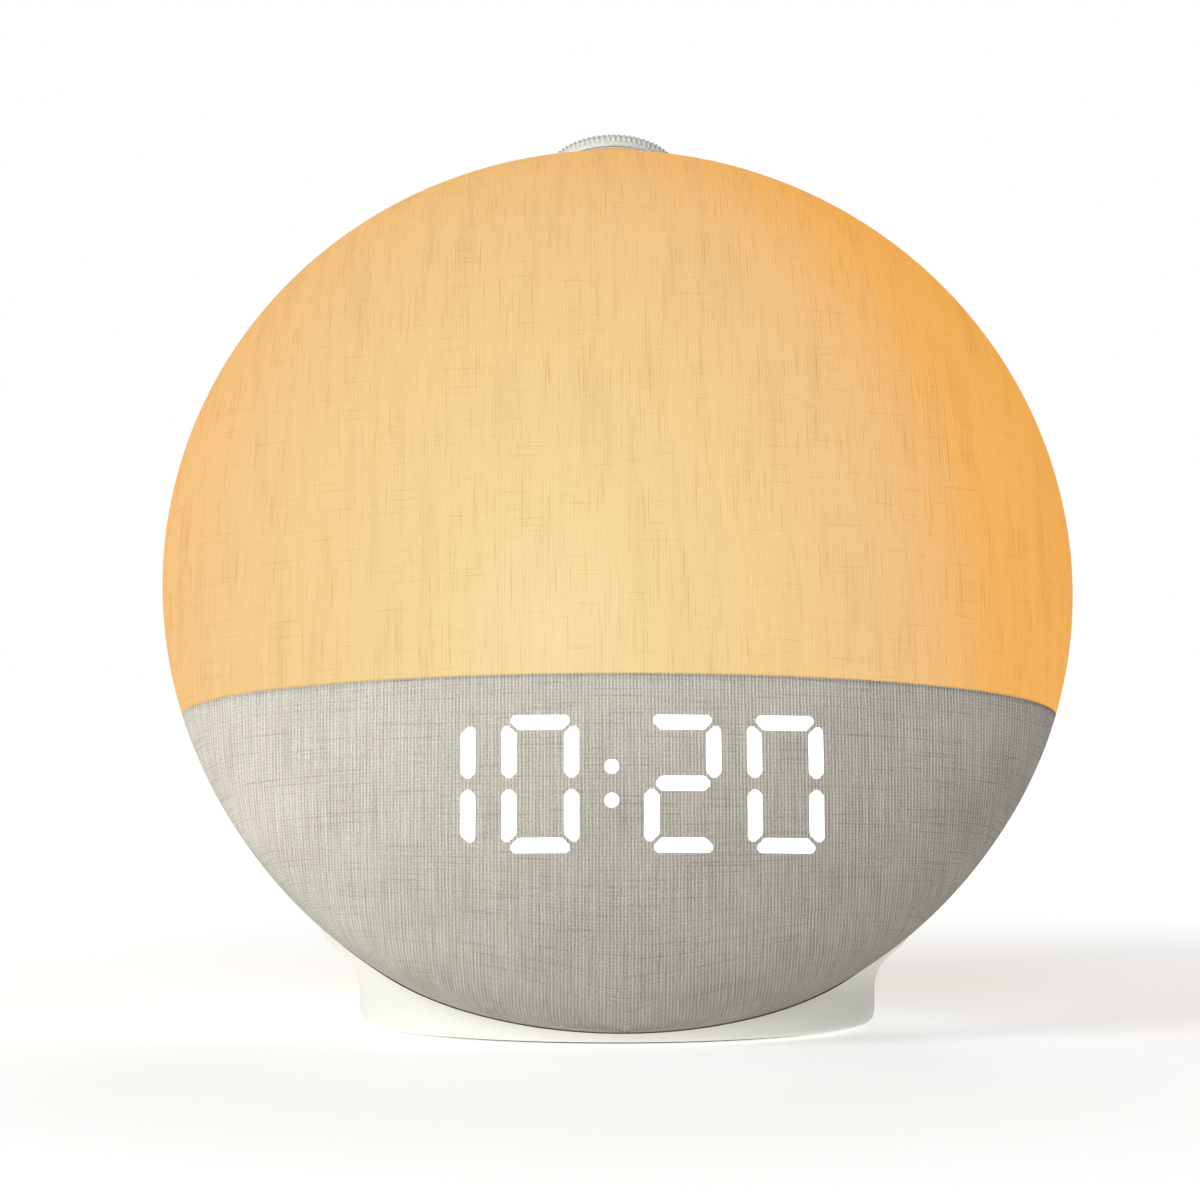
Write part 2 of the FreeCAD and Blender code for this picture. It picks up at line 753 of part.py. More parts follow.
# Display: light pipes in a mask on a board
def segment_points(name):
    """The middle of each stroke of a digit and whether it stands up."""
    across = size("digit_width") / 2 - size("stroke") / 2
    top = size("digit_height") / 2 - size("stroke") / 2
    return {
        "top": (0, top, False),
        "middle": (0, 0, False),
        "bottom": (0, -top, False),
        "upper_left": (-across, top / 2, True),
        "upper_right": (across, top / 2, True),
        "lower_left": (-across, -top / 2, True),
        "lower_right": (across, -top / 2, True),
    }[name]


LIT = {
    "1": ("upper_right", "lower_right"),
    "0": ("top", "bottom", "upper_left", "upper_right", "lower_left", "lower_right"),
    "2": ("top", "upper_right", "middle", "lower_left", "bottom"),
}
STROKES = ("top", "middle", "bottom", "upper_left", "upper_right", "lower_left", "lower_right")


def digit_centres():
    """How far the middle of each digit is from the display's own middle."""
    inner = (size("digit_pitch") + size("colon_space")) / 2
    outer = inner + size("digit_pitch")
    return [-outer, -inner, inner, outer]


def stroke_solid(centre, name, grow, front, depth):
    """One pointed stroke of a digit, from the front value back by its depth, in the display's frame."""
    across, up, upright = segment_points(name)
    half = size("stroke") / 2 + grow
    run = (size("digit_height") - size("stroke")) / 2 if upright else size("digit_width") - size("stroke")
    reach = run / 2 - size("segment_gap") / 2 + grow
    slope = reach - half
    corners = [(-reach, 0), (-slope, half), (slope, half), (reach, 0), (slope, -half), (-slope, -half)]
    if upright:
        corners = [(b, a) for a, b in corners]
    drop = size("display_drop")
    middle = size("display_across") + centre + across
    points = [FreeCAD.Vector(middle + a, -front, -drop + up + b) for a, b in corners]
    face = Part.Face(Part.makePolygon(points + points[:1]))
    return face.extrude(FreeCAD.Vector(0, depth, 0))


SHOWN_TIME = "1020"
PIPE_FACE = size("display_face") + size("segment_proud")
PIPE_DEPTH = size("mask_depth") + size("segment_proud") - size("clearance")


def stroke_set(wanted_lit, grow=0.0, front=PIPE_FACE, depth=PIPE_DEPTH):
    """The solids of every lit, or every dark, stroke of the shown time."""
    solids = []
    for centre, digit in zip(digit_centres(), SHOWN_TIME):
        for name in STROKES:
            if (name in LIT[digit]) == wanted_lit:
                solids.append(stroke_solid(centre, name, grow, front, depth))
    return solids


def dot_set(grow=0.0, front=PIPE_FACE, depth=PIPE_DEPTH):
    """The two colon dots."""
    dots = []
    for side in (-1, 1):
        up = side * size("colon_half_pitch") - size("display_drop")
        foot = FreeCAD.Vector(size("display_across"), -front, up)
        radius = size("colon_radius") + grow
        dots.append(Part.makeCylinder(radius, depth, foot, FreeCAD.Vector(0, 1, 0)))
    return dots


def shaped(name, solids, frame):
    """A set of solids drawn in a leaning frame."""
    thing = doc.addObject("Part::Feature", name)
    thing.Shape = Part.makeCompound(solids)
    return place(thing, frame=frame)


lit_segments = shaped("lit_segments", stroke_set(True), DISPLAY)
dark_segments = shaped("dark_segments", stroke_set(False), DISPLAY)
colon_dots = shaped("colon_dots", dot_set(), DISPLAY)
pipe_fit = size("bore_clearance")
pipe_front = size("display_face") + size("cut_past")
pipe_length = size("mask_depth") + 2 * size("cut_past")
pipe_holes = shaped(
    "pipe_holes",
    stroke_set(True, pipe_fit, pipe_front, pipe_length)
    + stroke_set(False, pipe_fit, pipe_front, pipe_length)
    + dot_set(pipe_fit, pipe_front, pipe_length),
    DISPLAY,
)
MASK_BACK = "(display_face - clearance / 2 - mask_depth)"
mask_block = display_block("mask_block", "mask_margin", "mask_depth", MASK_BACK)
segment_mask = cut("segment_mask", mask_block, pipe_holes)
DISPLAY_BOARD_BACK = f"{MASK_BACK} - board_thickness"
display_board = display_block("display_board", "mask_margin / 2", "board_thickness", DISPLAY_BOARD_BACK)

# Main board under the deck
BOARD_LOW = f"({DECK_UNDER} - main_board_drop - board_thickness)"
main_blank = box(
    "main_blank",
    "main_board_width",
    "main_board_depth",
    "board_thickness",
    "0",
    "main_board_back",
    BOARD_LOW,
    BALL,
)
main_holes = []
main_screws = []
for index, (side, end) in enumerate(MAIN_SPOTS):
    across = f"{side}main_screw_across"
    back = f"main_board_back {end} main_screw_spread"
    radius = "small_screw_shank + clearance"
    height = "board_thickness + 2 * cut_past"
    low = f"{BOARD_LOW} - cut_past"
    main_holes.append(rod(f"main_hole_{index}", radius, height, across, back, low, BALL))
    tip = f"{BOARD_LOW} + small_screw_length"
    main_screws.append(screw(f"main_screw_{index}", across, back, tip, BALL, upward=True, small=True))
main_board = cut("main_board", main_blank, *main_holes)
main_board_screws = group("main_board_screws", *main_screws)
PART_TOP = f"({BOARD_LOW} + board_thickness)"
processor_chip = box(
    "processor_chip",
    "processor_side",
    "processor_side",
    "processor_height",
    "processor_across",
    "main_board_back",
    PART_TOP,
    BALL,
)
wireless_shield = box(
    "wireless_shield",
    "shield_width",
    "shield_depth",
    "shield_height",
    "shield_across",
    "main_board_back",
    PART_TOP,
    BALL,
)


# Speaker, held by its flange on the housing's ring
FLANGE_TOP = "(speaker_reach - gasket_thickness)"
FLANGE_LOW = f"({FLANGE_TOP} - speaker_flange)"
MAGNET_TOP = "(-speaker_depth + magnet_height)"
speaker_frame_blank = turned(
    "speaker_frame_blank",
    [
        ("cone_radius + surround_width", "0"),
        ("speaker_radius", "0"),
        ("speaker_radius", "-speaker_flange"),
        ("duct_radius", "-speaker_flange"),
        ("magnet_radius + speaker_wall", MAGNET_TOP),
        ("magnet_radius + speaker_wall", "-speaker_depth"),
        ("0", "-speaker_depth"),
        ("0", f"{MAGNET_TOP} + clearance"),
        ("pole_radius", f"{MAGNET_TOP} + clearance"),
        ("pole_radius", "-speaker_depth + speaker_wall"),
        ("magnet_radius + bore_clearance", "-speaker_depth + speaker_wall"),
        ("magnet_radius + bore_clearance", MAGNET_TOP),
        ("cone_radius + surround_width", "-speaker_flange - cone_travel"),
    ],
    FLANGE_TOP,
    SPEAKER,
)
speaker_holes = []
gasket_holes = []
for index, (across, up) in enumerate(SPEAKER_SPOTS):
    radius = "small_screw_shank + clearance"
    height = "speaker_flange + 2 * cut_past"
    low = f"{FLANGE_LOW} - cut_past"
    speaker_holes.append(rod(f"frame_hole_{index}", radius, height, across, up, low, SPEAKER))
    height = "gasket_thickness + 2 * cut_past"
    low = f"{FLANGE_TOP} - cut_past"
    gasket_holes.append(rod(f"gasket_hole_{index}", radius, height, across, up, low, SPEAKER))
speaker_frame = cut("speaker_frame", speaker_frame_blank, *speaker_holes)
speaker_magnet = ring(
    "speaker_magnet",
    "coil_radius + coil_wall + running_gap",
    "magnet_radius",
    "magnet_height - speaker_wall - clearance",
    f"{FLANGE_TOP} - speaker_depth + speaker_wall",
    SPEAKER,
)
gasket_ring = ring(
    "gasket_ring",
    "duct_radius",
    "speaker_radius",
    "gasket_thickness - glue_gap",
    f"{FLANGE_TOP} + glue_gap / 2",
    SPEAKER,
)
speaker_gasket = cut("speaker_gasket", gasket_ring, *gasket_holes)
speaker_screws = group(
    "speaker_screws",
    *[
        screw(
            f"speaker_screw_{index}",
            across,
            up,
            f"{FLANGE_LOW} + small_screw_length",
            SPEAKER,
            upward=True,
            small=True,
        )
        for index, (across, up) in enumerate(SPEAKER_SPOTS)
    ],
)
CONE_EDGE = "(-cone_travel / 2 - cone_set_back)"
CAP_FOOT = f"{CONE_EDGE} - cone_depth"
speaker_cone = turned(
    "speaker_cone",
    [
        ("0", f"{CAP_FOOT} + dust_cap_rise"),
        ("coil_radius / 2", f"{CAP_FOOT} + dust_cap_shoulder"),
        ("coil_radius + coil_wall", CAP_FOOT),
        ("cone_radius", CONE_EDGE),
        ("cone_radius", f"{CONE_EDGE} + cone_wall"),
        ("coil_radius + coil_wall", f"{CAP_FOOT} + cone_wall"),
        ("coil_radius / 2", f"{CAP_FOOT} + dust_cap_shoulder + cone_wall"),
        ("0", f"{CAP_FOOT} + dust_cap_rise + cone_wall"),
    ],
    FLANGE_TOP,
    SPEAKER,
)
voice_coil = ring(
    "voice_coil",
    "coil_radius",
    "coil_radius + coil_wall",
    "coil_length",
    f"{FLANGE_TOP} + {CAP_FOOT} - coil_length - glue_gap",
    SPEAKER,
)
cone_surround = turned(
    "cone_surround",
    [
        ("cone_radius + bore_clearance", CONE_EDGE),
        ("cone_radius + surround_width / 2", f"{CONE_EDGE} + surround_rise"),
        ("cone_radius + surround_width - running_gap", CONE_EDGE),
        ("cone_radius + surround_width - running_gap", f"{CONE_EDGE} + cone_wall"),
        ("cone_radius + surround_width / 2", f"{CONE_EDGE} + cone_wall + surround_rise"),
        ("cone_radius + bore_clearance", f"{CONE_EDGE} + cone_wall"),
    ],
    FLANGE_TOP,
    SPEAKER,
)


# Oval base: lofted wall that flares as it rises, with the ball's cradle cut out of it
def oval(name, inset, height, flare_share):
    """One level outline of the base, drawn in by the inset and let out by a share of the flare."""
    edge = doc.addObject("Part::Ellipse", name)
    reach = f"base_flare * {flare_share} - ({inset})"
    bind(edge, MajorRadius=f"base_half_width + {reach}", MinorRadius=f"base_half_depth + {reach}")
    return place(edge, z=height)


def oval_loft(name, sections, ruled=False):
    """A solid through level outlines of the base."""
    solid = doc.addObject("Part::Loft", name)
    solid.Sections = [oval(f"{name}_{index}", *row) for index, row in enumerate(sections)]
    solid.Solid = True
    solid.Ruled = ruled
    return solid


EDGE_TOP = "(foot_thickness + base_edge_round)"


# Share of the flare's height, and the share of the flare that the wall has reached there
FLARE_ROWS = [(0, 0), (0.4, 0.03), (0.65, 0.18), (0.83, 0.5), (1.0, 1.0), (1.25, 1.5), (1.6, 1.8)]


def flare_sections(inset, start):
    """Levels from the start upward: nearly upright at first, then curling out towards the ball."""
    return [(inset, f"{start} + {rise} * base_flare_height", reach) for rise, reach in FLARE_ROWS]


# The lower edge is a quarter round, in steps of 30 degrees
EDGE_ANGLES = (0, 30, 60, 90)
edge_sections = [
    (f"base_edge_round * (1 - sin({angle}))", f"{EDGE_TOP} - base_edge_round * cos({angle})", 0)
    for angle in EDGE_ANGLES
]
base_edge = oval_loft("base_edge", edge_sections, ruled=True)
base_outer = oval_loft("base_outer", flare_sections("0", EDGE_TOP))
base_inner = oval_loft("base_inner", flare_sections("base_wall", BASE_TOP))
cradle_space = common("cradle_space", cradle, above_base)


def rear_slots():
    """Sound outlets in the base's rear wall, at both sides of the socket and the switch."""
    slots = []
    low = f"{BASE_TOP} + outlet_sill"
    for side in SIDES:
        for index in range(int(size("outlet_count"))):
            across = f"{side}(outlet_start + {index} * outlet_pitch)"
            name = f"outlet_{'left' if side else 'right'}_{index}"
            depth = "base_half_depth"
            slots.append(box(name, "outlet_width", depth, "outlet_height", across, "base_half_depth", low))
    return slots


SOCKET_LOW = REAR_BOARD_TOP
SLIDER_LOW = f"({REAR_BOARD_TOP} + (switch_height - slider_height) / 2)"
SWITCH_MIDDLE = f"({REAR_WALL} - switch_inset - switch_depth / 2)"
SOCKET_BACK = "(base_half_depth - socket_recess)"
REAR_BOARD_MIDDLE = f"({REAR_WALL} - rear_board_inset - rear_board_depth / 2)"
REAR_SCREW_ROW = f"({REAR_BOARD_MIDDLE} - rear_board_depth / 2 + rear_screw_inset)"
REAR_SPOTS = ("rear_screw_left", "rear_screw_right")
socket_hole = box(
    "socket_hole",
    "socket_width + 2 * clearance",
    "3 * base_wall",
    "socket_thickness + 2 * clearance",
    "socket_across",
    "base_half_depth",
    f"{SOCKET_LOW} - clearance",
)
slider_hole = box(
    "slider_hole",
    "slider_length + slider_travel + 2 * running_gap",
    "3 * base_wall",
    "slider_height + 2 * running_gap",
    "switch_across",
    "base_half_depth",
    f"{SLIDER_LOW} - running_gap",
)
base_screw_holes = []
base_screw_set = []
for index, (side, back) in enumerate(BASE_SPOTS):
    spot = f"{side}base_screw_across"
    radius = "screw_shank_radius + clearance"
    base_screw_holes.append(rod(f"base_screw_hole_{index}", radius, f"2 * {BASE_TOP}", spot, back, "0"))
    pocket = "screw_head_radius + clearance"
    depth = "foot_thickness + screw_head_height"
    base_screw_holes.append(rod(f"base_screw_pocket_{index}", pocket, depth, spot, back, "0"))
    tip = "foot_thickness + screw_head_height + screw_length"
    base_screw_set.append(screw(f"base_screw_{index}", spot, back, tip, upward=True))
rear_bosses = []
rear_bores = []
rear_screw_set = []
for index, spot in enumerate(REAR_SPOTS):
    height = f"rear_board_height - {BASE_TOP} + merge_depth"
    low = f"{BASE_TOP} - merge_depth"
    rear_bosses.append(rod(f"rear_boss_{index}", "small_boss_radius", height, spot, REAR_SCREW_ROW, low))
    radius = "small_screw_shank + bore_clearance"
    low = "foot_thickness + clearance"
    rear_bores.append(rod(f"rear_bore_{index}", radius, "base_boss_height", spot, REAR_SCREW_ROW, low))
    tip = f"{REAR_BOARD_TOP} - small_screw_length"
    rear_screw_set.append(screw(f"rear_screw_{index}", spot, REAR_SCREW_ROW, tip, small=True))
base_wall_ring = cut("base_wall_ring", fuse("base_form", base_edge, base_outer), base_inner)
base_walls = cut("base_walls", base_wall_ring, cradle_space)
base_shell = cut(
    "base_shell",
    fuse("base_with_bosses", base_walls, *rear_bosses),
    socket_hole,
    slider_hole,
    *rear_slots(),
    *base_screw_holes,
    *rear_bores,
)
base_screws = group("base_screws", *base_screw_set)
FOOT_EDGE = "foot_inset + base_edge_round"
foot_pad = oval_loft("foot_pad", [(FOOT_EDGE, "0", 0), (FOOT_EDGE, "foot_thickness", 0)])

# Socket and switch on a small board behind the base's rear wall
rear_blank = box(
    "rear_blank",
    "rear_board_width",
    "rear_board_depth",
    "board_thickness",
    "rear_board_across",
    REAR_BOARD_MIDDLE,
    "rear_board_height",
)
rear_holes = [
    rod(
        f"rear_board_hole_{index}",
        "small_screw_shank + clearance",
        "3 * board_thickness",
        spot,
        REAR_SCREW_ROW,
        "rear_board_height - board_thickness",
    )
    for index, spot in enumerate(REAR_SPOTS)
]
socket_board = cut("socket_board", rear_blank, *rear_holes)
socket_board_screws = group("socket_board_screws", *rear_screw_set)
SOCKET_MIDDLE = f"({SOCKET_BACK} - socket_depth / 2)"
socket_block = box(
    "socket_block",
    "socket_width",
    "socket_depth",
    "socket_thickness",
    "socket_across",
    SOCKET_MIDDLE,
    SOCKET_LOW,
)
socket_cavity = box(
    "socket_cavity",
    "socket_width - 2 * socket_wall",
    "socket_depth",
    "socket_thickness - 2 * socket_wall",
    "socket_across",
    f"{SOCKET_MIDDLE} + socket_back_wall",
    f"{SOCKET_LOW} + socket_wall",
)
tongue = box(
    "tongue",
    "socket_width - 6 * socket_wall",
    "socket_depth - tongue_setback - socket_back_wall + tongue_root",
    "tongue_thickness",
    "socket_across",
    f"{SOCKET_MIDDLE} + (socket_back_wall - tongue_root - tongue_setback) / 2",
    f"{SOCKET_LOW} + socket_thickness / 2 - tongue_thickness / 2",
)
power_socket = fuse("power_socket", cut("socket_can", socket_block, socket_cavity), tongue)
switch_block = box(
    "switch_block",
    "switch_length",
    "switch_depth",
    "switch_height",
    "switch_across",
    SWITCH_MIDDLE,
    REAR_BOARD_TOP,
)
switch_cavity = box(
    "switch_cavity",
    "slider_length + slider_travel + 2 * running_gap",
    "switch_depth",
    "slider_height + 2 * running_gap",
    "switch_across",
    f"{SWITCH_MIDDLE} + switch_wall",
    f"{SLIDER_LOW} - running_gap",
)
alarm_switch_body = cut("alarm_switch_body", switch_block, switch_cavity)
SLIDER_FRONT = f"({SWITCH_MIDDLE} - switch_depth / 2 + switch_wall + running_gap)"
alarm_slider = box(
    "alarm_slider",
    "slider_length",
    "slider_reach",
    "slider_height",
    "switch_across - slider_travel / 2",
    f"{SLIDER_FRONT} + slider_reach / 2",
    SLIDER_LOW,
)

NODES = [
    light_cover_fabric,
    light_diffuser_dome,
    speaker_cover_fabric,
    lower_housing,
    light_deck,
    reflector_sheet,
    heat_spreader,
    light_board,
    warm_light_chips,
    white_light_chips,
    deck_screws,
    dial_cup,
    encoder_board,
    encoder_housing,
    encoder_rotor,
    dial_shaft,
    dial_cap,
    dial_post,
    lit_segments,
    dark_segments,
    colon_dots,
    segment_mask,
    display_board,
    main_board,
    main_board_screws,
    processor_chip,
    wireless_shield,
    speaker_frame,
    speaker_magnet,
    speaker_gasket,
    speaker_screws,
    speaker_cone,
    voice_coil,
    cone_surround,
    base_shell,
    base_screws,
    foot_pad,
    socket_board,
    socket_board_screws,
    power_socket,
    alarm_switch_body,
    alarm_slider,
]

doc.recompute()
failed = [thing.Name for thing in doc.Objects if "Invalid" in thing.State or "Error" in thing.State]
if failed:
    raise RuntimeError(f"These failed: {', '.join(failed)}")
os.makedirs("parts", exist_ok=True)
for node in NODES:
    node.Label = node.Name
    shape = node.Shape
    if shape.isNull() or not shape.isValid():
        raise RuntimeError(f"{node.Label} has no valid shape")
for node in NODES:
    node.Shape.exportStep(f"parts/{node.Label}.step")
    bounds = node.Shape.BoundBox
    print(
        f"{node.Label:24s} solids {len(node.Shape.Solids):3d} volume {node.Shape.Volume:10.1f}"
        f" x {bounds.XMin:7.2f} {bounds.XMax:7.2f} y {bounds.YMin:7.2f} {bounds.YMax:7.2f}"
        f" z {bounds.ZMin:7.2f} {bounds.ZMax:7.2f}"
    )
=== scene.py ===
"""Sunrise alarm clock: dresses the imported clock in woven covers, moulded plastic and light."""
import math

import bmesh
import bpy
from mathutils import Matrix, Vector


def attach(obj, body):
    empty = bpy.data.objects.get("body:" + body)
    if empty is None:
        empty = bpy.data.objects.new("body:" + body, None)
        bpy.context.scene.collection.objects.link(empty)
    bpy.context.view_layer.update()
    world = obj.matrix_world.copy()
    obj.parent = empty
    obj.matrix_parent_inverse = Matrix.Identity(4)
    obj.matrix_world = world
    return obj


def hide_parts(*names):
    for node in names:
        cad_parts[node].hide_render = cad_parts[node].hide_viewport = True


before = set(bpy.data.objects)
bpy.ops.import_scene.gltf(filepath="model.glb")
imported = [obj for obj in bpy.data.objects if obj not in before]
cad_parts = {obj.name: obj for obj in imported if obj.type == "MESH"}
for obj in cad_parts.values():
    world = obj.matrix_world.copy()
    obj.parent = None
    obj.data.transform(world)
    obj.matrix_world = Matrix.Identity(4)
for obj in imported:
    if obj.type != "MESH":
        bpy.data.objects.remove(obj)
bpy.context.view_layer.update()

# The leaning ball, in metres
HALF_WIDTH = 0.075
HALF_HEIGHT = 0.0775
FRONT_DEPTH = 0.0225
BACK_DEPTH = 0.075
TILT = math.radians(18.5)
BALL_CENTRE = Vector((0.0, -0.0104, 0.076))
PARTING = -0.026
SEAM_GAP = 0.0003
CLOTH = 0.0008
FLOOR_CUT = 0.0022

# The dial on the ball's crown
DIAL_LEAN = math.radians(9.0)
DIAL_SEAT = 1 / math.hypot(math.sin(DIAL_LEAN) / BACK_DEPTH, math.cos(DIAL_LEAN) / HALF_HEIGHT)
DIAL_HOLE = 0.0106
DIAL_RADIUS = 0.0130
DIAL_TOP_RADIUS = 0.0123
DIAL_GAP = 0.0007
DIAL_BAND = 0.0011
DIAL_TOP = 0.0039
DIAL_DISH = 0.0005
DIAL_WALL = 0.0016
DIAL_BOSS_RADIUS = 0.0052
DIAL_BOSS_DROP = 0.0025
DIAL_RIM_WIDTH = 0.0026
DIAL_EASE = 0.00025
DIAL_RIBS = 84
RIB_WIDTH = 0.00050
RIB_HEIGHT = 0.00042
RIB_SIDES = 10

# The shown time: four digits and a colon in the display's frame
DISPLAY_LEAN = TILT - math.radians(11.5)
DIGIT_HEIGHT = 0.0212
DIGIT_WIDTH = 0.0119
STROKE = 0.0023
TIP_SHIFT = 0.3
DIGIT_PITCH = 0.0159
COLON_SPACE = 0.0060
COLON_RADIUS = 0.00113
COLON_HALF_PITCH = 0.0026
DISPLAY_DROP = 0.0385
DISPLAY_ACROSS = -0.00216
LIGHT_PROUD = 0.00008

BODY = "clock_body"


def leaning(lean):
    """The matrix of a frame that leans back by an angle at the ball's centre."""
    return Matrix.Translation(BALL_CENTRE) @ Matrix.Rotation(-lean, 4, "X")


BALL = leaning(TILT)
DIAL = leaning(TILT + DIAL_LEAN) @ Matrix.Translation((0, 0, DIAL_SEAT))
DISPLAY = leaning(DISPLAY_LEAN)

# Camera
PHOTO_SIDE = 1200
FOCAL_PIXELS = 2729.2
SENSOR = 36.0
CAMERA_SPOT = BALL_CENTRE + Vector((-0.198, -6.0, -0.326)) * HALF_WIDTH
CAMERA_YAW = -0.026
CAMERA_PITCH = 0.042
CAMERA_NEAR = 0.01


def add_camera():
    """A plain perspective camera that was fitted to the photo's outline."""
    camera = bpy.data.objects.new("camera", bpy.data.cameras.new("camera"))
    bpy.context.scene.collection.objects.link(camera)
    camera.data.sensor_width = SENSOR
    camera.data.lens = FOCAL_PIXELS / PHOTO_SIDE * SENSOR
    camera.location = CAMERA_SPOT
    camera.rotation_euler = (math.pi / 2 + CAMERA_PITCH, 0.0, CAMERA_YAW)
    camera.data.clip_start = CAMERA_NEAR
    bpy.context.scene.camera = camera


# Shader maths
class Value:
    """A shader socket that takes part in Python expressions."""

    def __init__(self, shader, socket):
        self.shader = shader
        self.socket = socket

    def with_other(self, operation, other, swap=False):
        pair = (other, self) if swap else (self, other)
        return self.shader.node("ShaderNodeMath", {"operation": operation}, {0: pair[0], 1: pair[1]})["Value"]

    def __add__(self, other):
        return self.with_other("ADD", other)

    __radd__ = __add__

    def __sub__(self, other):
        return self.with_other("SUBTRACT", other)

    def __rsub__(self, other):
        return self.with_other("SUBTRACT", other, swap=True)

    def __mul__(self, other):
        return self.with_other("MULTIPLY", other)

    __rmul__ = __mul__

    def __truediv__(self, other):
        return self.with_other("DIVIDE", other)

    def __pow__(self, other):
        return self.with_other("POWER", other)

    def clamp(self, low, high):
        return self.with_other("MAXIMUM", low).with_other("MINIMUM", high)


class Shader:
    """A material's node tree with one way to make a node."""

    def __init__(self, name):
        self.material = bpy.data.materials.new(name)
        self.material.use_nodes = True
        self.tree = self.material.node_tree
        self.tree.nodes.clear()

    def node(self, kind, settings=None, inputs=None):
        made = self.tree.nodes.new(kind)
        for key, setting in (settings or {}).items():
            if key == "stops":
                ramp = made.color_ramp
                while len(ramp.elements) < len(setting):
                    ramp.elements.new(0.5)
                for element, (spot, color) in zip(ramp.elements, setting):
                    element.position = spot
                    element.color = (*color, 1.0)
            else:
                setattr(made, key, setting)
        for key, value in (inputs or {}).items():
            socket = made.inputs[key]
            if isinstance(value, Value):
                self.tree.links.new(value.socket, socket)
            else:
                socket.default_value = value
        return {output.name: Value(self, output) for output in made.outputs if output.enabled}

    def coordinates(self, name="Object"):
        return self.node("ShaderNodeTexCoord")[name]

    def mapped(self, vector, location=(0, 0, 0), rotation=(0, 0, 0), scale=(1, 1, 1)):
        places = {"Vector": vector, "Location": location, "Rotation": rotation, "Scale": scale}
        return self.node("ShaderNodeMapping", None, places)["Vector"]

    def split(self, vector):
        parts = self.node("ShaderNodeSeparateXYZ", None, {"Vector": vector})
        return parts["X"], parts["Y"], parts["Z"]

    def noise(self, vector, scale, detail=2.0, roughness=0.5):
        inputs = {"Vector": vector, "Scale": scale, "Detail": detail, "Roughness": roughness}
        made = self.node("ShaderNodeTexNoise", {"noise_dimensions": "3D"}, inputs)
        return made["Fac"] if "Fac" in made else made["Factor"]

    def ramp(self, factor, stops):
        return self.node("ShaderNodeValToRGB", {"stops": stops}, {"Fac": factor})["Color"]

    def mix(self, factor, first, second, blend="MIX"):
        made = self.tree.nodes.new("ShaderNodeMix")
        made.data_type = "RGBA"
        made.blend_type = blend
        for socket, value in zip((made.inputs[0], made.inputs[6], made.inputs[7]), (factor, first, second)):
            if isinstance(value, Value):
                self.tree.links.new(value.socket, socket)
            else:
                socket.default_value = value if isinstance(value, float) else (*value, 1.0)
        return Value(self, made.outputs[2])

    def bump(self, height, distance, strength=1.0):
        inputs = {"Height": height, "Distance": distance, "Strength": strength}
        return self.node("ShaderNodeBump", None, inputs)["Normal"]

    def finish(self, **inputs):
        named = {key.replace("_", " ").title().replace("Ior", "IOR"): value for key, value in inputs.items()}
        surface = self.node("ShaderNodeBsdfPrincipled", None, named)["BSDF"]
        self.node("ShaderNodeOutputMaterial", None, {"Surface": surface})
        return self.material


# Materials
THREAD = 0.00054
CLOTH_RELIEF = 0.00011


def weave(shader):
    """The warp and the weft of a plain weave with uneven threads, on the cloth's own UV map in metres."""
    surface = shader.coordinates("UV")
    across, up, _ = shader.split(surface)
    turn = 2 * math.pi / THREAD
    wobble = shader.noise(shader.mapped(surface, scale=(300, 300, 1)), 1.0, 1.0)
    warp = shader.node("ShaderNodeMath", {"operation": "SINE"}, {0: across * turn + wobble * 2.2})["Value"]
    weft = shader.node("ShaderNodeMath", {"operation": "SINE"}, {0: up * turn + wobble * 2.2})["Value"]
    return surface, warp, weft


def slubs(shader, surface, along, pitch, seed, length=0.012):
    """Long thin streaks of thicker thread that run along one direction."""
    squeeze = (1 / length, 1 / pitch, 1) if along == "across" else (1 / pitch, 1 / length, 1)
    placed = shader.mapped(surface, location=(seed, seed * 1.7, 0), scale=squeeze)
    return shader.noise(placed, 1.0, 1.0, 0.5)


def lines(streaks, threshold, sharpness):
    """Only the strongest of the streaks, from nothing to one."""
    return ((streaks - threshold) * sharpness).clamp(0.0, 1.0)


